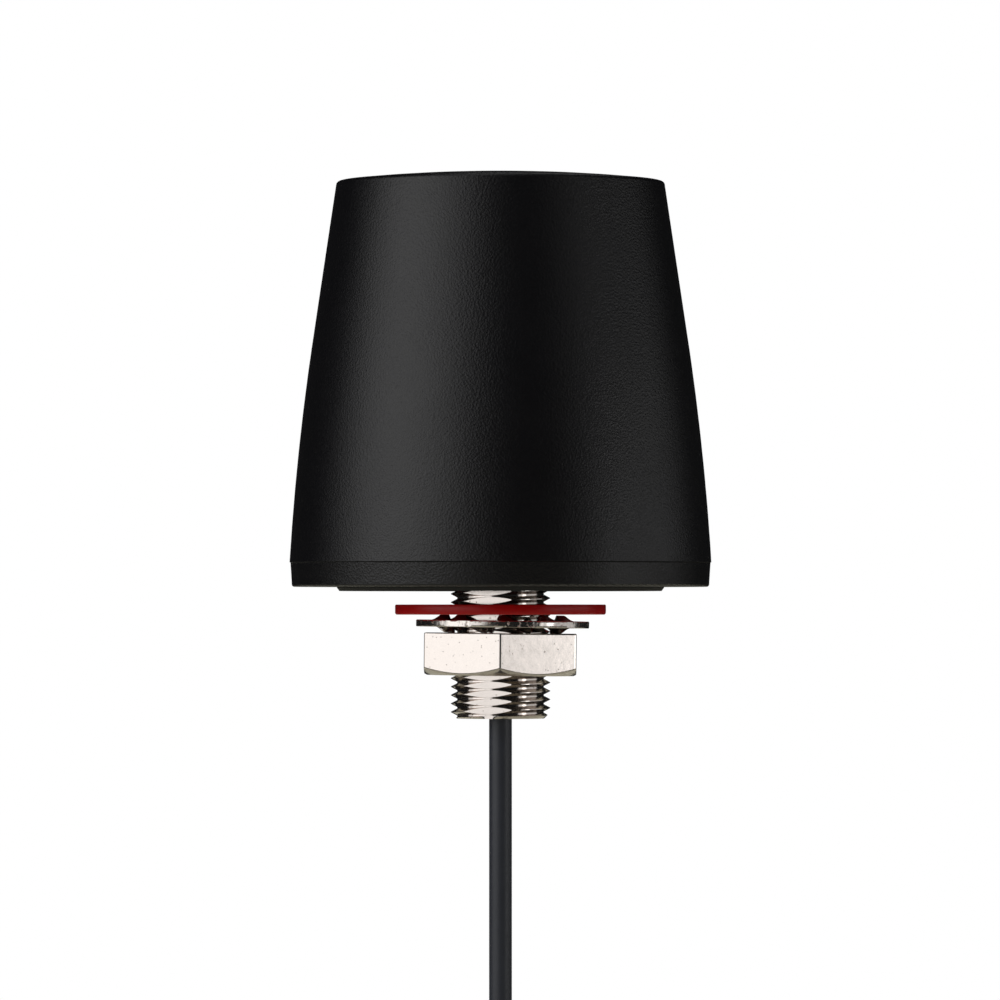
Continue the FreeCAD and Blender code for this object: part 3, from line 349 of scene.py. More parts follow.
# %% Build the stud
STUD_END, THREAD_TOP, SHANK_TOP, HEAD_TOP = -15.1, 1.9, 3.0, 6.0
BORE_RADIUS, RELIEF, END_CHAMFER = 2.5, 5.15, 0.7
HEAD_FLATS, HEAD_ROUNDING, HEAD_CORNER = 20.0, 0.3, 30.0

# closer columns where the flat is
flat_zone = FLAT_TURN + np.radians(np.linspace(-31, 31, 100, endpoint=False))
other_zone = FLAT_TURN + np.radians(np.linspace(31, 329, 92, endpoint=False))
head_corners = np.radians(np.arange(6) * 60.0 + HEAD_CORNER)
stud_angle = full_turn(np.concatenate([flat_zone, other_zone, head_corners]))

heights = climbing_rows(STUD_END, THREAD_TOP, stud_angle, flat_radius(stud_angle))
chamfer = heights - STUD_END + CREST_RADIUS - END_CHAMFER
turned = np.minimum(thread_radius(stud_angle, heights), chamfer)
turned = np.minimum(turned, flat_radius(stud_angle))
head = hexagon_radius(stud_angle, HEAD_FLATS, HEAD_ROUNDING, math.radians(HEAD_CORNER))
level = np.ones_like(stud_angle)
above = [(RELIEF, 2.1), (RELIEF, SHANK_TOP - 0.1), (RELIEF + 0.1, SHANK_TOP)]
head_rows = [(head - 0.1, SHANK_TOP), (head, SHANK_TOP + 0.1), (head, HEAD_TOP - 0.1), (head - 0.1, HEAD_TOP)]
bore_rows = [(BORE_RADIUS + 0.2, HEAD_TOP), (BORE_RADIUS, HEAD_TOP - 0.2), (BORE_RADIUS, STUD_END + 0.3),
             (BORE_RADIUS + 0.05, STUD_END + 0.12), (BORE_RADIUS + 0.3, STUD_END)]
closing = above + head_rows + bore_rows
stud_radius = np.concatenate([turned, [radius * level for radius, _ in closing]])
stud_height = np.concatenate([heights, [height * level for _, height in closing]])
stud_grid = np.broadcast_arrays(stud_radius, stud_angle, stud_height)
stud = ring("stud_M12_thread", *stud_grid, sharp=50)
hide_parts("threaded_stud")

# %% [markdown]
# ## The hexagon nut
# A pressed and plated nut with a chamfer below only. A hexagon cut by a cone gives the curved edge that
# every nut has: low in the middle of each face and high at the corners. The rows of its grid follow
# that edge, so it stays one crisp line. It sits a little tilted, because the washer above it springs.

# %% Build the nut
NUT_TOP, NUT_BOTTOM, NUT_FLATS, NUT_ROUNDING = -5.0, -10.0, 18.0, 0.25
NUT_TURN, NUT_TILT = math.radians(-0.4), 0.55
CONE_RADIUS, CONE_SLOPE = 8.7, math.tan(math.radians(26.6))
THREAD_PLAY, LEAD_IN_RADIUS = 0.03, 5.3

side_steps = np.concatenate([np.linspace(-28.6, 28.6, 23), [-29.2, -29.6, 29.2, 29.6, 30.0]])
nut_angle = full_turn(np.radians(side_steps[None, :] + np.arange(6)[:, None] * 60.0) + NUT_TURN)
nut_side = hexagon_radius(nut_angle, NUT_FLATS, NUT_ROUNDING, NUT_TURN + math.radians(30))
edge_height = NUT_BOTTOM + (nut_side - CONE_RADIUS) * CONE_SLOPE
shares = np.array([0.0, 0.5, 0.93])[:, None]
cone_rows = CONE_RADIUS + shares * (nut_side - CONE_RADIUS)
cone_heights = NUT_BOTTOM + shares * (edge_height - NUT_BOTTOM)
level = np.ones_like(nut_angle)
outer_rows = np.concatenate([
    [(CONE_RADIUS - 0.1) * level], cone_rows, [nut_side - 0.012, nut_side, nut_side],
    [nut_side, nut_side, nut_side - 0.03, nut_side - 0.11]])
outer_heights = np.concatenate([
    [NUT_BOTTOM * level], cone_heights, [edge_height + 0.03, edge_height + 0.09, edge_height + 0.15],
    [(NUT_TOP - 0.17) * level, (NUT_TOP - 0.11) * level, (NUT_TOP - 0.03) * level, NUT_TOP * level]])
bore_heights = climbing_rows(NUT_BOTTOM, NUT_TOP, nut_angle)[::-1]
lead_in = LEAD_IN_RADIUS + np.maximum(bore_heights - NUT_TOP, NUT_BOTTOM - bore_heights) + 0.85
bore = np.maximum(thread_radius(nut_angle, bore_heights) + THREAD_PLAY, lead_in)
nut_radius = np.concatenate([outer_rows, bore])
nut_height = np.concatenate([outer_heights, bore_heights])
nut_grid = np.broadcast_arrays(nut_radius, nut_angle, nut_height)
nut = ring("hex_nut_M12", *nut_grid, sharp=24)
tilted(nut, (0, 0, (NUT_TOP + NUT_BOTTOM) / 2), NUT_TILT)
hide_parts("hex_nut")

# %% [markdown]
# ## The washer with twisted teeth
# The lock washer is stamped from thin spring steel, and each of its eight inward teeth is twisted at the
# neck, so that one corner bites upwards and the other downwards. This is the piece of most skill. A
# boolean of a ring and eight blades would leave hard joints. Here one closed section is carried round
# the washer's inner outline, in and out of every tooth, and then space itself is turned about each
# tooth's middle line, more and more towards the tip.

# %% The outline of one tooth, and the twist
TOOTH_COUNT, RIM_RADIUS, ROOT_RADIUS, NECK_RADIUS = 8, 10.25, 8.25, 7.2
TOOTH_TURN, BITE, SIDE_PLAY = math.radians(12.5), 1.085, 0.25
SHEET, WASHER_MIDDLE, WASHER_TILT = 0.82, -3.9, 0.74
ROOT_CURVE = 8.30
TWISTS = -np.radians([24.8, 23.6, 24.4, 25.0, 23.8, 24.5, 24.9, 24.0])

# half of one tooth: distance along its middle line, half width, and where its column meets the rim
half_outline = np.array([
    (ROOT_CURVE * math.cos(math.radians(22.5)), ROOT_CURVE * math.sin(math.radians(22.5)), 22.5),
    (ROOT_CURVE * math.cos(math.radians(19.4)), ROOT_CURVE * math.sin(math.radians(19.4)), 19.6),
    (ROOT_CURVE * math.cos(math.radians(16.8)), ROOT_CURVE * math.sin(math.radians(16.8)), 17.2),
    (8.08, 2.16, 15.8), (8.00, 2.03, 14.9), (7.88, 1.94, 14.0), (7.68, 1.91, 13.2), (7.42, 1.94, 12.4),
    (7.14, 1.99, 11.7), (6.88, 2.04, 11.0), (6.64, 2.09, 10.4), (6.42, 2.13, 9.8), (6.26, 2.15, 9.2),
    (6.19, 2.12, 8.6), (6.16, 2.04, 8.0), (6.15, 1.80, 7.0), (6.16, 1.30, 5.2), (6.18, 0.65, 2.6),
    (6.19, 0.0, 0.0)])
mirrored = half_outline[-2:0:-1] * [1, -1, -1]
outline = np.concatenate([half_outline, mirrored])
print(len(outline) * TOOTH_COUNT, "columns round the washer, twist", np.degrees(TWISTS).round(1).tolist())


def burr(angle, height):
    """Small unevenness of a sheared edge: a sum of sines of unrelated waves, about 0.02 mm."""
    waves = np.sin(angle * 61 + 1.3) + np.sin(angle * 97 + height * 9) + np.sin(angle * 151 - height * 14)
    return 0.007 * waves


# %% Build the lock washer
tooth_number = np.repeat(np.arange(TOOTH_COUNT), len(outline))
profile = np.tile(outline, (TOOTH_COUNT, 1))
middle_line = tooth_number * WHOLE_TURN / TOOTH_COUNT + TOOTH_TURN
inner_angle = middle_line - np.arctan2(profile[:, 1], profile[:, 0])
inner_radius = np.hypot(profile[:, 0], profile[:, 1])
outer_angle = middle_line - np.radians(profile[:, 2])
parts = (inner_angle, inner_radius, outer_angle, middle_line)
inner_angle, inner_radius, outer_angle, middle_line = [np.append(part, part[0]) for part in parts]
inner_end = inner_radius * np.exp(1j * inner_angle)
outer_end = RIM_RADIUS * np.exp(1j * outer_angle)

# the section: share of the way in from the rim, and height from the sheet's middle
half_sheet = SHEET / 2
inward = np.array([0.0, 0.02, 0.08, 0.16, 0.25, 0.34, 0.43, 0.52, 0.60, 0.68, 0.76, 0.84, 0.91, 0.965,
                   0.988, 1.0])
lift = half_sheet * np.array([0.80, 0.96, 1, 1, 1, 1, 1, 1, 1, 1, 1, 1, 1, 1, 0.93, 0.72])
share = np.concatenate([inward, inward[::-1], [0.0, 0.0]])[:, None]
rise = np.concatenate([lift, -lift[::-1], [-0.35 * half_sheet, 0.45 * half_sheet]])[:, None]
plan = (1 - share) * outer_end[None, :] + share * inner_end[None, :]
radius, angle = np.abs(plan), np.angle(plan)
height = np.broadcast_to(rise, radius.shape)
radius = radius + burr(angle, height) * (share < 0.01)

# the twist: nothing at the root, all of it at the neck and the tip, and the corners pressed flat
turned_by = TWISTS[np.append(tooth_number, tooth_number[0])][None, :]
ease = np.clip((ROOT_RADIUS - radius) / (ROOT_RADIUS - NECK_RADIUS), 0, 1)
twist = turned_by * ease**1.1
along = radius * np.cos(angle - middle_line)
across = radius * np.sin(angle - middle_line)
turned_across = across * np.cos(twist) - height * np.sin(twist)
turned_height = np.clip(across * np.sin(twist) + height * np.cos(twist), -BITE, BITE)
x = along * np.cos(middle_line) - turned_across * np.sin(middle_line)
y = along * np.sin(middle_line) + turned_across * np.cos(middle_line)
points = np.stack([x + SIDE_PLAY, y, turned_height + WASHER_MIDDLE], -1)
lock_washer = place("tooth_lock_washer_twisted", points.reshape(-1, 3), ring_faces(*radius.shape), sharp=42)
tilted(lock_washer, (0, 0, WASHER_MIDDLE), WASHER_TILT)
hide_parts("tooth_lock_washer")

# %% [markdown]
# ## The red insulating washer
# It is punched from red vulcanised fibre, and it insulates the metal below it from what is above.
# Punching rounds its upper edge a little and leaves the lower one with a soft bevel. A ring with ten
# rows is enough, because its section is so plain.

# %% Build the red washer
section = np.array([
    (6.16, -1.60), (12.36, -1.60), (12.46, -1.64), (12.50, -1.74), (12.50, -2.56), (12.44, -2.72),
    (12.30, -2.80), (6.16, -2.80), (6.10, -2.74), (6.10, -1.66)])
turns = np.linspace(0, WHOLE_TURN, 181)
washer_grid = np.broadcast_arrays(section[:, :1], turns, section[:, 1:])
red_washer = ring("red_fibre_washer", *washer_grid)
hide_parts("red_washer")

# %% [markdown]
# ## The coaxial lead
# The lead is a thin coaxial cable with a soft black jacket, 2.7 mm across. It leaves the stud's bore
# straight down. Its spare length is put away further down: folded into a figure eight with round ends,
# as a shop packs it, and held by a strap. One smooth spline carries all of it. Its first points are
# the route's own, and the turns are more points of the same spline, each half turn by one formula.

# %% The hank's turns
LEAD_RADIUS = 1.35
TURN_STEP = 2 * LEAD_RADIUS
UPPER_HEART, LOWER_HEART, WAIST_LEVEL = -80.2, -109.8, -95.0
WAIST_REACH = 4.6
LOBE_ANGLES = np.radians([148, 186, 228, 270, 312, 354, 32])
PULL = 1.075  # a smooth spline runs inside its points, so they stand this much further out


def half_turn(upper, size, start, end, front, back):
    """Nine points round one lobe, from waist to waist: x = s cos a and z = heart + s sin a.

    The depth y runs evenly from front to back, and the size s evenly between its two ends.
    """
    share = np.linspace(0.0, 1.0, 9)
    turn = -LOBE_ANGLES[::-1] if upper else LOBE_ANGLES
    sizes = (size[0] + (size[1] - size[0]) * share[1:-1]) * PULL
    heart, foot = (UPPER_HEART, WAIST_REACH) if upper else (LOWER_HEART, -WAIST_REACH)
    points_x = np.concatenate([[start], sizes * np.cos(turn), [end]])
    points_z = np.concatenate([[WAIST_LEVEL + foot], heart + sizes * np.sin(turn), [WAIST_LEVEL + foot]])
    return np.stack([points_x, front + (back - front) * share, points_z], -1)


OUTER, INNER, PASS_OUT, PASS_IN = 10.8, 8.1, 3.9, LEAD_RADIUS
FRONT = -5.4
lead_route = [(0, 0, -15.1), (0, 0, -44.8), (0, 0, -56), (-3.0, -3.8, -66), (-5.5, FRONT, -76),
              (-5.2, FRONT, -84), (-4.0, FRONT, -90.4)]
route = [np.array(lead_route)]

# four outer turns from the front to the back
depth = FRONT
for number in range(3):
    below = TURN_STEP * number - TURN_STEP
    route.append(half_turn(False, (OUTER, OUTER), -PASS_OUT, PASS_OUT, depth, below + 0.7))
    route.append(half_turn(True, (OUTER, OUTER), PASS_OUT, -PASS_OUT, below + 0.7, below + 2.0))
    depth = below + 2.0
route.append(half_turn(False, (OUTER, OUTER), -PASS_OUT, PASS_OUT, depth, -FRONT))
route.append(half_turn(True, (OUTER, INNER), PASS_OUT, -PASS_IN, -FRONT, -FRONT))

# three inner turns back to the front, then straight down
for number in range(3):
    behind = -FRONT - TURN_STEP * number
    route.append(half_turn(False, (INNER, INNER), -PASS_IN, PASS_IN, behind, behind - PASS_IN))
    if number < 2:
        route.append(half_turn(True, (INNER, INNER), PASS_IN, -PASS_IN, behind - PASS_IN, behind - TURN_STEP))
route.append(half_turn(True, (INNER, INNER), PASS_IN, 0.0, -PASS_IN, FRONT))
route.append(np.array([(0, FRONT, -99.6), (0, FRONT, -112), (0, FRONT, -122), (0, FRONT, -130)]))
route = np.concatenate(route)
print(len(route), "control points")

# %% Build the lead
lead_curve = bpy.data.curves.new("coaxial_lead", "CURVE")
lead_curve.dimensions = "3D"
lead_curve.bevel_depth = 1.0  # times each point's radius, which is the lead's
lead_curve.bevel_resolution = 5
lead_curve.resolution_u = 8
lead_curve.use_fill_caps = True
spline = lead_curve.splines.new("NURBS")
spline.points.add(len(route) - 1)
weights = np.ones((len(route), 1))
spline.points.foreach_set("co", np.hstack([route * MM, weights]).astype(np.float32).ravel())
spline.points.foreach_set("radius", np.full(len(route), LEAD_RADIUS * MM, np.float32))
spline.order_u = 3
spline.use_endpoint_u = True
lead = bpy.data.objects.new("coaxial_lead", lead_curve)
scene.collection.objects.link(lead)
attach(lead, "antenna")
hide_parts("coax_cable", "cable_hank", "cable_tail")

# %% [markdown]
# ## The strap round the hank
# A narrow woven strap with hooks and loops goes once round the bundle and laps over itself in front. It
# is its own flat section carried along a path: a rounded rectangle that grows outwards by one
# thickness where the second layer begins. Each point also stores how far along and across the strap it
# is, so that the weave can follow it.

# %% Build the strap
STRAP_WIDTH, STRAP_THICKNESS = 7.6, 0.42
HALF_X, HALF_Y, STRAP_CORNER = 5.95, 7.0, 1.7


def rounded_rectangle(distance, grow):
    """A point on a rectangle with arcs at its corners, moved outwards, and the length all round.

    The heading rises by a quarter turn along each arc. The path is the running sum of (cos, sin) of it.
    """
    straight_x, straight_y = 2 * (HALF_X - STRAP_CORNER), 2 * (HALF_Y - STRAP_CORNER)
    bend = math.pi / 2 * STRAP_CORNER
    lengths = [0, straight_x / 2, bend, straight_y, bend, straight_x, bend, straight_y, bend, straight_x / 2]
    stops = np.cumsum(lengths)
    quarter = np.array([0, 0, 1, 1, 2, 2, 3, 3, 4, 4]) * math.pi / 2
    here = distance % stops[-1]
    facing = np.interp(here, stops, quarter) - math.pi / 2
    walked = np.linspace(0, stops[-1], 1441)
    headings = np.interp(walked, stops, quarter)
    step = walked[1] - walked[0]
    halfway = (headings[1:] + headings[:-1]) / 2
    path_x = np.concatenate([[0], np.cumsum(np.cos(halfway) * step)])
    path_y = np.concatenate([[0], np.cumsum(np.sin(halfway) * step)]) - HALF_Y
    x, y = np.interp(here, walked, path_x), np.interp(here, walked, path_y)
    return x + grow * np.cos(facing), y + grow * np.sin(facing), stops[-1]


lap_length = rounded_rectangle(np.zeros(1), np.zeros(1))[2]
travel = np.linspace(-3.2, lap_length + 3.4, 260)
layer = np.clip((travel - lap_length + 6.0) / 2.5, 0, 1)  # 0 on the first layer, 1 on the second
layer = layer * layer * (3 - 2 * layer) * (STRAP_THICKNESS + 0.04)
across_strap = STRAP_WIDTH * np.array([-0.5, -0.492, -0.46, -0.3, -0.1, 0.1, 0.3, 0.46, 0.492, 0.5])
edge_height = STRAP_THICKNESS / 2 * np.array([0.0, 0.7, 1, 1, 1, 1, 1, 1, 0.7, 0.0])
strip_z = np.concatenate([across_strap, across_strap[-2:0:-1]])[:, None]
strip_out = np.concatenate([edge_height, -edge_height[-2:0:-1]])[:, None]
ends = np.clip(np.minimum(travel - travel[0], travel[-1] - travel) / 0.25, 0, 1)[None, :]
x, y, _ = rounded_rectangle(travel[None, :], layer[None, :] + STRAP_THICKNESS / 2 + strip_out * ends**0.5)
z = WAIST_LEVEL + np.broadcast_to(strip_z, x.shape)
weave_place = np.stack([np.broadcast_to(travel[None, :], x.shape), z, np.zeros_like(x)], -1) * MM
strap = place("hank_strap", np.stack([x, y, z], -1).reshape(-1, 3), ring_faces(*x.shape), weave=weave_place)
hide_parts("hank_tie")

# %% [markdown]
# ## Finishes
# Each finish starts from what the real one is. Patterns are given in real millimetres, turned into the
# scale that a texture wants by one function, and read the object's own coordinates, so they stay
# on the piece from every side.

# %% Pattern scale, bump and colour spots
def per_mm(size):
    """Texture scale that gives one feature in so many millimetres."""
    return 1.0 / (size * MM)


def spots(tree, kind, size, **inputs):
    """A pattern of the given feature size on the object's own coordinates."""
    where = add(tree, "TexCoord").outputs["Object"]
    values = {key.replace("_", " ").title(): value for key, value in inputs.items()}
    return add(tree, kind, {"Vector": where, "Scale": per_mm(size), **values}).outputs[0]


def relief(tree, surface, height, depth, under=None):
    """Turn a height pattern into bumps so many millimetres deep, on top of the ones under them."""
    inputs = {"Height": height, "Distance": depth * MM, "Strength": 1.0}
    if under is not None:
        inputs["Normal"] = under
    bump = add(tree, "Bump", inputs)
    tree.links.new(bump.outputs[0], surface.inputs["Normal"])
    return bump.outputs[0]


def between(tree, share, low, high):
    """A number from low to high by a pattern that runs from 0 to 1."""
    return add(tree, "MapRange", {"Value": share, "To Min": low, "To Max": high}).outputs[0]


def tinted(tree, surface, share, first, second):
    """Base colour mixed from two hex colours by a pattern."""
    mix = add(tree, "Mix", {0: share, 6: linear(first), 7: linear(second)}, data_type="RGBA")
    tree.links.new(mix.outputs[2], surface.inputs["Base Color"])


# %% [markdown]
# ### Moulded ABS, spark-eroded grain
# The mould of the housing was finished by sparks, which leaves a fine pebbled leather in the plastic:
# soft cells about a quarter of a millimetre wide. To the eye the black is never one tone, and the lights
# spread into broad soft streaks. Where the housing meets its base a painted shadow line runs round: near
# that height the colour goes to black, which is painted shade, and the gloss goes to matt.

# %% Housing finish
GRAIN_CELL, GRAIN_FINE, GRAIN_DEPTH = 0.26, 0.17, 0.025  # a few times deeper than real, so that it shows
SEAM_LEVEL, PAINTED_SHADOW_HALF, PAINTED_SHADOW_FADE = 3.36, 0.05, 0.09
abs_black, tree, surface = finish("moulded_abs_black", roughness=0.36, ior=1.53)
cells = spots(tree, "TexVoronoi", GRAIN_CELL)
grains = spots(tree, "TexNoise", GRAIN_FINE, detail=3.0, roughness=0.6)
pebbles = add(tree, "Math", {0: cells, 1: grains}, operation="ADD").outputs[0]
relief(tree, surface, pebbles, GRAIN_DEPTH)
clouds = spots(tree, "TexNoise", 6.0, detail=3.0)
tinted(tree, surface, grains, "#030206", "#0d0c11")
height = add(tree, "SeparateXYZ", {0: add(tree, "TexCoord").outputs["Object"]}).outputs["Z"]
off_joint = add(tree, "Math", {0: height, 1: SEAM_LEVEL * MM}, operation="SUBTRACT").outputs[0]
off_joint = add(tree, "Math", {0: off_joint}, operation="ABSOLUTE").outputs[0]
limits = {"From Min": PAINTED_SHADOW_HALF * MM, "From Max": PAINTED_SHADOW_FADE * MM}
outside_painted_shadow = add(tree, "MapRange", {"Value": off_joint, **limits}).outputs[0]
plain = surface.inputs["Base Color"].links[0].from_socket
# painted shadow: within about a tenth of a millimetre of the joint the colour fades to black, in place of the
# gap's shade
with_painted_shadow = add(tree, "Mix", {0: outside_painted_shadow, 6: linear("#010101"), 7: plain}, data_type="RGBA").outputs[2]
tree.links.new(with_painted_shadow, surface.inputs["Base Color"])
dull = add(tree, "Mix", {0: outside_painted_shadow, 2: 0.95, 3: between(tree, clouds, 0.33, 0.39)}).outputs[0]
tree.links.new(dull, surface.inputs["Roughness"])
print("grain of", GRAIN_CELL, "mm; joint line at", SEAM_LEVEL, "mm")

# %% [markdown]
# ### Rubbers
# The foam gasket is die cut from a closed-cell sheet, so its cut edge shows tiny bubbles and hardly
# shines. The moulded silicone rings are smooth with a dull bloom.

# %% Gasket and seals
foam_rubber, tree, surface = finish("closed_cell_foam_rubber", roughness=0.75, ior=1.45)
bubbles = spots(tree, "TexVoronoi", 0.22)
relief(tree, surface, bubbles, 0.02)
tinted(tree, surface, bubbles, "#1e1e1f", "#2a2a2b")

silicone_black, tree, surface = finish("moulded_silicone_black", roughness=0.45, ior=1.41)
bloom = spots(tree, "TexNoise", 1.5, detail=4.0)
tinted(tree, surface, bloom, "#1d1d1f", "#262628")
relief(tree, surface, bloom, 0.004)

silicone_red, tree, surface = finish("moulded_silicone_red", roughness=0.4, ior=1.41)
bloom = spots(tree, "TexNoise", 1.0, detail=4.0)
tinted(tree, surface, bloom, "#a8231a", "#bb2c20")
relief(tree, surface, bloom, 0.004)

# %% [markdown]
# ### Nickel plate on turned brass
# Bright nickel is a warm, slightly yellow grey. Handling and tumbling leave it with faint clouds in its
# gloss and small nicks, so it reflects in soft-edged patches instead of like a mirror. A nick is a dot
# about a tenth of a millimetre wide, where a cell pattern is nearest to its own points.

# %% Stud and nut finish
nickel, tree, surface = finish("bright_nickel_plate", metallic=1.0, roughness=0.16)
haze = spots(tree, "TexNoise", 1.3, detail=5.0, roughness=0.6)
tinted(tree, surface, haze, "#cfc7c1", "#dbd3cd")
tree.links.new(between(tree, haze, 0.10, 0.17), surface.inputs["Roughness"])
ripples = spots(tree, "TexNoise", 0.7, detail=4.0)
smooth = relief(tree, surface, ripples, 0.004)
cells = spots(tree, "TexVoronoi", 0.6)
nicks = add(tree, "MapRange", {"Value": cells, "From Min": 0.03, "From Max": 0.12}).outputs[0]
relief(tree, surface, nicks, 0.010, under=smooth)
plated = surface.inputs["Base Color"].links[0].from_socket
worn = add(tree, "Mix", {0: nicks, 6: linear("#9c887c"), 7: plated}, data_type="RGBA").outputs[2]
tree.links.new(worn, surface.inputs["Base Color"])

# %% [markdown]
# ### Plated spring steel
# A stamped washer is tumbled after it is punched. Its faces stay fairly bright, but the sheared rim
# keeps fine upright scratches and small bright burrs. Real scratches are some hundredths of a millimetre
# wide. That is too fine to show, so they are drawn at 0.22 mm.

# %% Lock washer finish
spring_steel, tree, surface = finish("plated_spring_steel", metallic=1.0, roughness=0.22)
haze = spots(tree, "TexNoise", 0.8, detail=5.0, roughness=0.65)
tinted(tree, surface, haze, "#d3ccc6", "#e4ddd7")
tree.links.new(between(tree, haze, 0.12, 0.26), surface.inputs["Roughness"])
where = add(tree, "TexCoord").outputs["Object"]
upright = add(tree, "Mapping", {"Vector": where, "Scale": (1.0, 1.0, 0.12)}).outputs[0]
shear_marks = add(tree, "TexNoise", {"Vector": upright, "Scale": per_mm(0.22), "Detail": 4.0}).outputs[0]
scored = relief(tree, surface, shear_marks, 0.006)
patches = spots(tree, "TexNoise", 0.5, detail=5.0, roughness=0.7)
torn = add(tree, "MapRange", {"Value": patches, "From Min": 0.60, "From Max": 0.72}).outputs[0]
relief(tree, surface, torn, 0.05, under=scored)

# %% [markdown]
# ### Vulcanised fibre, dark red
# Fibre is pressed paper: dense and tough, with a soft gloss from the press and a fine grain. The dye goes
# through it, so only its tone varies a little. The paper's fibres are some hundredths of a millimetre
# thick, so the grain is drawn coarser, at a quarter of a millimetre, to show at all.

# %% Red washer finish
red_fibre, tree, surface = finish("vulcanised_fibre_red", roughness=0.36, ior=1.42)
grain = spots(tree, "TexNoise", 0.25, detail=5.0, roughness=0.65)
tinted(tree, surface, grain, "#c00307", "#d4060b")
relief(tree, surface, grain, 0.014)

# %% [markdown]
# ### Soft PVC jacket
# The jacket is extruded over the screen, so it is smooth along its length with a slight waviness, and
# its black is a shade bluer and paler than the housing's.

# %% Lead finish
jacket, tree, surface = finish("extruded_soft_pvc", roughness=0.42, ior=1.52)
waves = spots(tree, "TexNoise", 1.8, detail=3.0)
tinted(tree, surface, waves, "#353842", "#3f424d")
relief(tree, surface, waves, 0.012)

# %% [markdown]
# ### The strap's weave
# Threads cross about every 0.6 mm. Two waves, one along and one across the strap, give the over and
# under of a plain weave, and fine noise gives the fuzz of the loops.

# %% Strap finish
def wave_scale(size):
    """Wave texture scale that gives one ridge or one groove in so many millimetres.

    A wave is one of each, and at a scale of 1 there are 20 / (2 pi) waves in a metre.
    """
    return per_mm(size) / 20 * math.pi


strap_weave, tree, surface = finish("woven_nylon_strap", roughness=0.85, ior=1.5)
along_strap = add(tree, "Attribute", attribute_name="weave").outputs["Vector"]
threads_apart = {"Vector": along_strap, "Scale": wave_scale(0.62)}
warp = add(tree, "TexWave", threads_apart, bands_direction="X").outputs[0]
weft = add(tree, "TexWave", threads_apart, bands_direction="Y").outputs[0]
crossing = add(tree, "Math", {0: warp, 1: weft}, operation="MULTIPLY").outputs[0]
fuzz = spots(tree, "TexNoise", 0.12, detail=3.0)
threads = add(tree, "Math", {0: crossing, 1: fuzz}, operation="ADD").outputs[0]
tinted(tree, surface, crossing, "#141416", "#2a2a2e")
relief(tree, surface, threads, 0.08)
surface.inputs["Sheen Weight"].default_value = 0.25

# %% [markdown]
# ### Plug and inner pieces
# The plug's metal is thinly gilded brass. Inside the housing are tinned sheet, copper foil on a green
# glass-fibre board, zinc-plated screws and cast epoxy. Nobody sees them, but each has its own finish.

# %% Gold, sleeve and white insulator
# gold flashed on turned brass: warm and bright, with the turning marks under it, drawn at 0.25 mm,
# about five times the real feed, because the real ones are too fine to show
gold, tree, surface = finish("thin_gold_plate", metallic=1.0, roughness=0.2)
haze = spots(tree, "TexNoise", 0.9, detail=4.0)
tinted(tree, surface, haze, "#d9ad5c", "#e6bf72")
tree.links.new(between(tree, haze, 0.15, 0.28), surface.inputs["Roughness"])
turning = add(tree, "TexCoord").outputs["Object"]
marks = add(tree, "TexWave", {"Vector": turning, "Scale": wave_scale(0.25)}, bands_direction="Z").outputs[0]
relief(tree, surface, marks, 0.002)

# polyolefin shrunk by hot air: satin black, with soft waves where it gripped
sleeve_finish, tree, surface = finish("shrunk_polyolefin_sleeve", roughness=0.5, ior=1.5)
waves = spots(tree, "TexNoise", 1.2, detail=3.0)
tinted(tree, surface, waves, "#18181a", "#202022")
relief(tree, surface, waves, 0.03)

# turned fluoropolymer: waxy white that lets a little light in
ptfe, tree, surface = finish("turned_ptfe", roughness=0.45, ior=1.35, subsurface_weight=0.1)
waves = spots(tree, "TexNoise", 0.8, detail=2.0)
tinted(tree, surface, waves, "#ecebe5", "#f4f3ee")
relief(tree, surface, waves, 0.004)

# %% Sheet metal, screws, board, foil and resin
# steel sheet dipped in tin: pale grey, its gloss clouded where the tin ran
tinned, tree, surface = finish("tinned_steel_sheet", metallic=1.0, roughness=0.35)
flow = spots(tree, "TexNoise", 3.0, detail=5.0, distortion=0.6)
tinted(tree, surface, flow, "#b7b8b4", "#c9c9c5")
tree.links.new(between(tree, flow, 0.28, 0.45), surface.inputs["Roughness"])
relief(tree, surface, flow, 0.01)

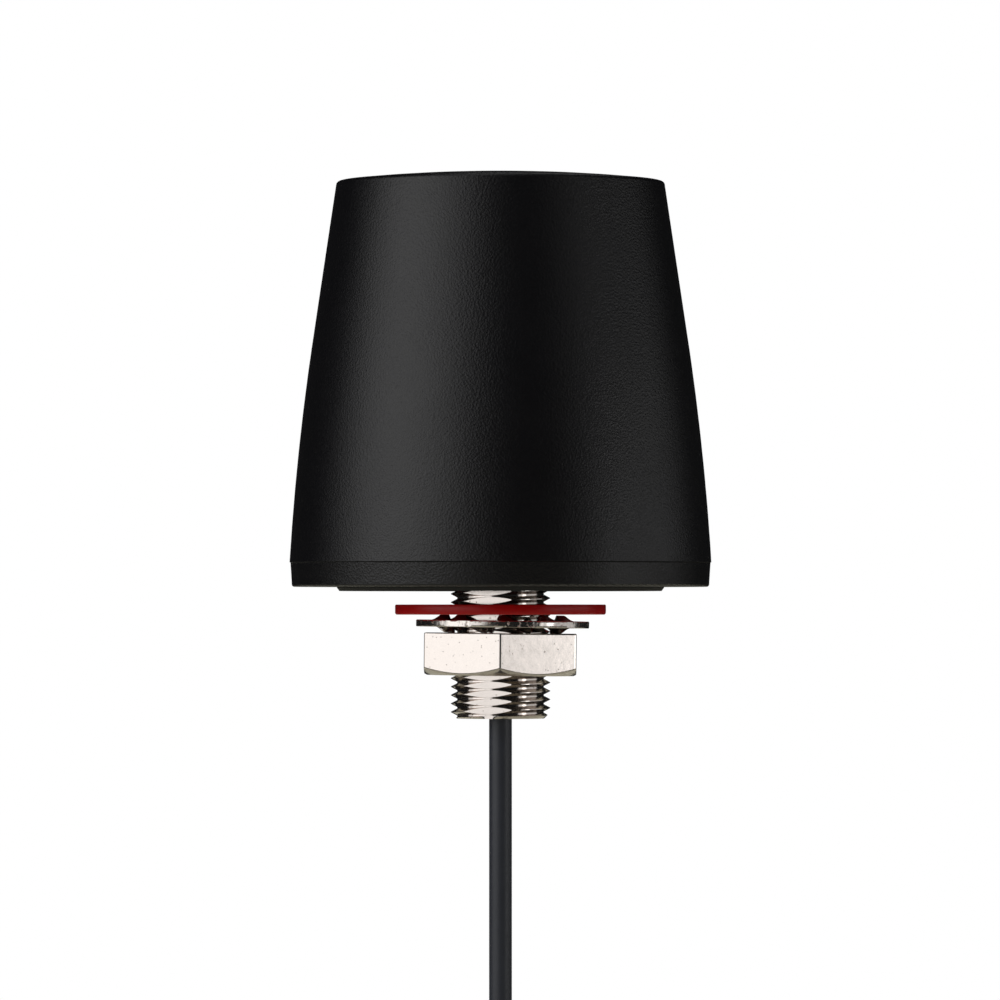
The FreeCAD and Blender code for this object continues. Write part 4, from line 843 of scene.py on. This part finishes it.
# steel screws plated with zinc: bluish grey, faintly crystalline
zinc, tree, surface = finish("zinc_plated_steel", metallic=1.0, roughness=0.3)
crystals = spots(tree, "TexVoronoi", 0.5)
tinted(tree, surface, crystals, "#aeb2b8", "#c2c6cb")
relief(tree, surface, crystals, 0.004)

# resist poured over glass cloth: glossy green, with the cloth's weave just to be seen under it
board, tree, surface = finish("green_resist_on_glass_fibre", roughness=0.25, ior=1.55)
cloth = spots(tree, "TexVoronoi", 0.6)
tinted(tree, surface, cloth, "#0f4a26", "#15592f")
relief(tree, surface, cloth, 0.003)

# copper foil after the etching bath: reddish, stained in soft patches
copper, tree, surface = finish("etched_copper_foil", metallic=1.0, roughness=0.3)
stain = spots(tree, "TexNoise", 2.5, detail=5.0)
tinted(tree, surface, stain, "#c07a4e", "#d08d63")
relief(tree, surface, stain, 0.003)

# epoxy that was poured and set: deep black and glossy, a little wavy
resin, tree, surface = finish("cast_epoxy_black", roughness=0.18, ior=1.55)
flow = spots(tree, "TexNoise", 2.0, detail=2.0)
tinted(tree, surface, flow, "#101012", "#161618")
relief(tree, surface, flow, 0.01)

# %% [markdown]
# ## Dress every piece
# Each piece takes the finish of what it is made of. The exact model's own pieces keep their shape.

# %% Assign the finishes
finishes = {
    abs_black: ["radome", "base_plate"],
    foam_rubber: ["base_gasket"],
    silicone_black: ["radome_seal"],
    silicone_red: ["plug_seal"],
    spring_steel: ["snap_ring"],
    jacket: ["cable_feed", "cable_plug_end"],
    gold: ["crimp_ferrule", "plug_body", "centre_contact", "coupling_nut"],
    sleeve_finish: ["plug_sleeve"],
    ptfe: ["plug_insulator"],
    tinned: ["ground_plate", "board_bracket_back", "board_bracket_front", "feed_ferrule"],
    zinc: ["ground_screws", "cover_screws"],
    board: ["antenna_board"],
    copper: ["radiator_foil", "grounding_foil"],
    resin: ["stud_potting"],
}
for made, names in finishes.items():
    for name in names:
        nodes[name].data.materials.clear()
        nodes[name].data.materials.append(made)
new_pieces = {stud: nickel, nut: nickel, lock_washer: spring_steel, red_washer: red_fibre, lead: jacket,
              strap: strap_weave}
for piece, made in new_pieces.items():
    piece.data.materials.append(made)
print(sum(map(len, finishes.values())) + len(new_pieces), "pieces dressed")
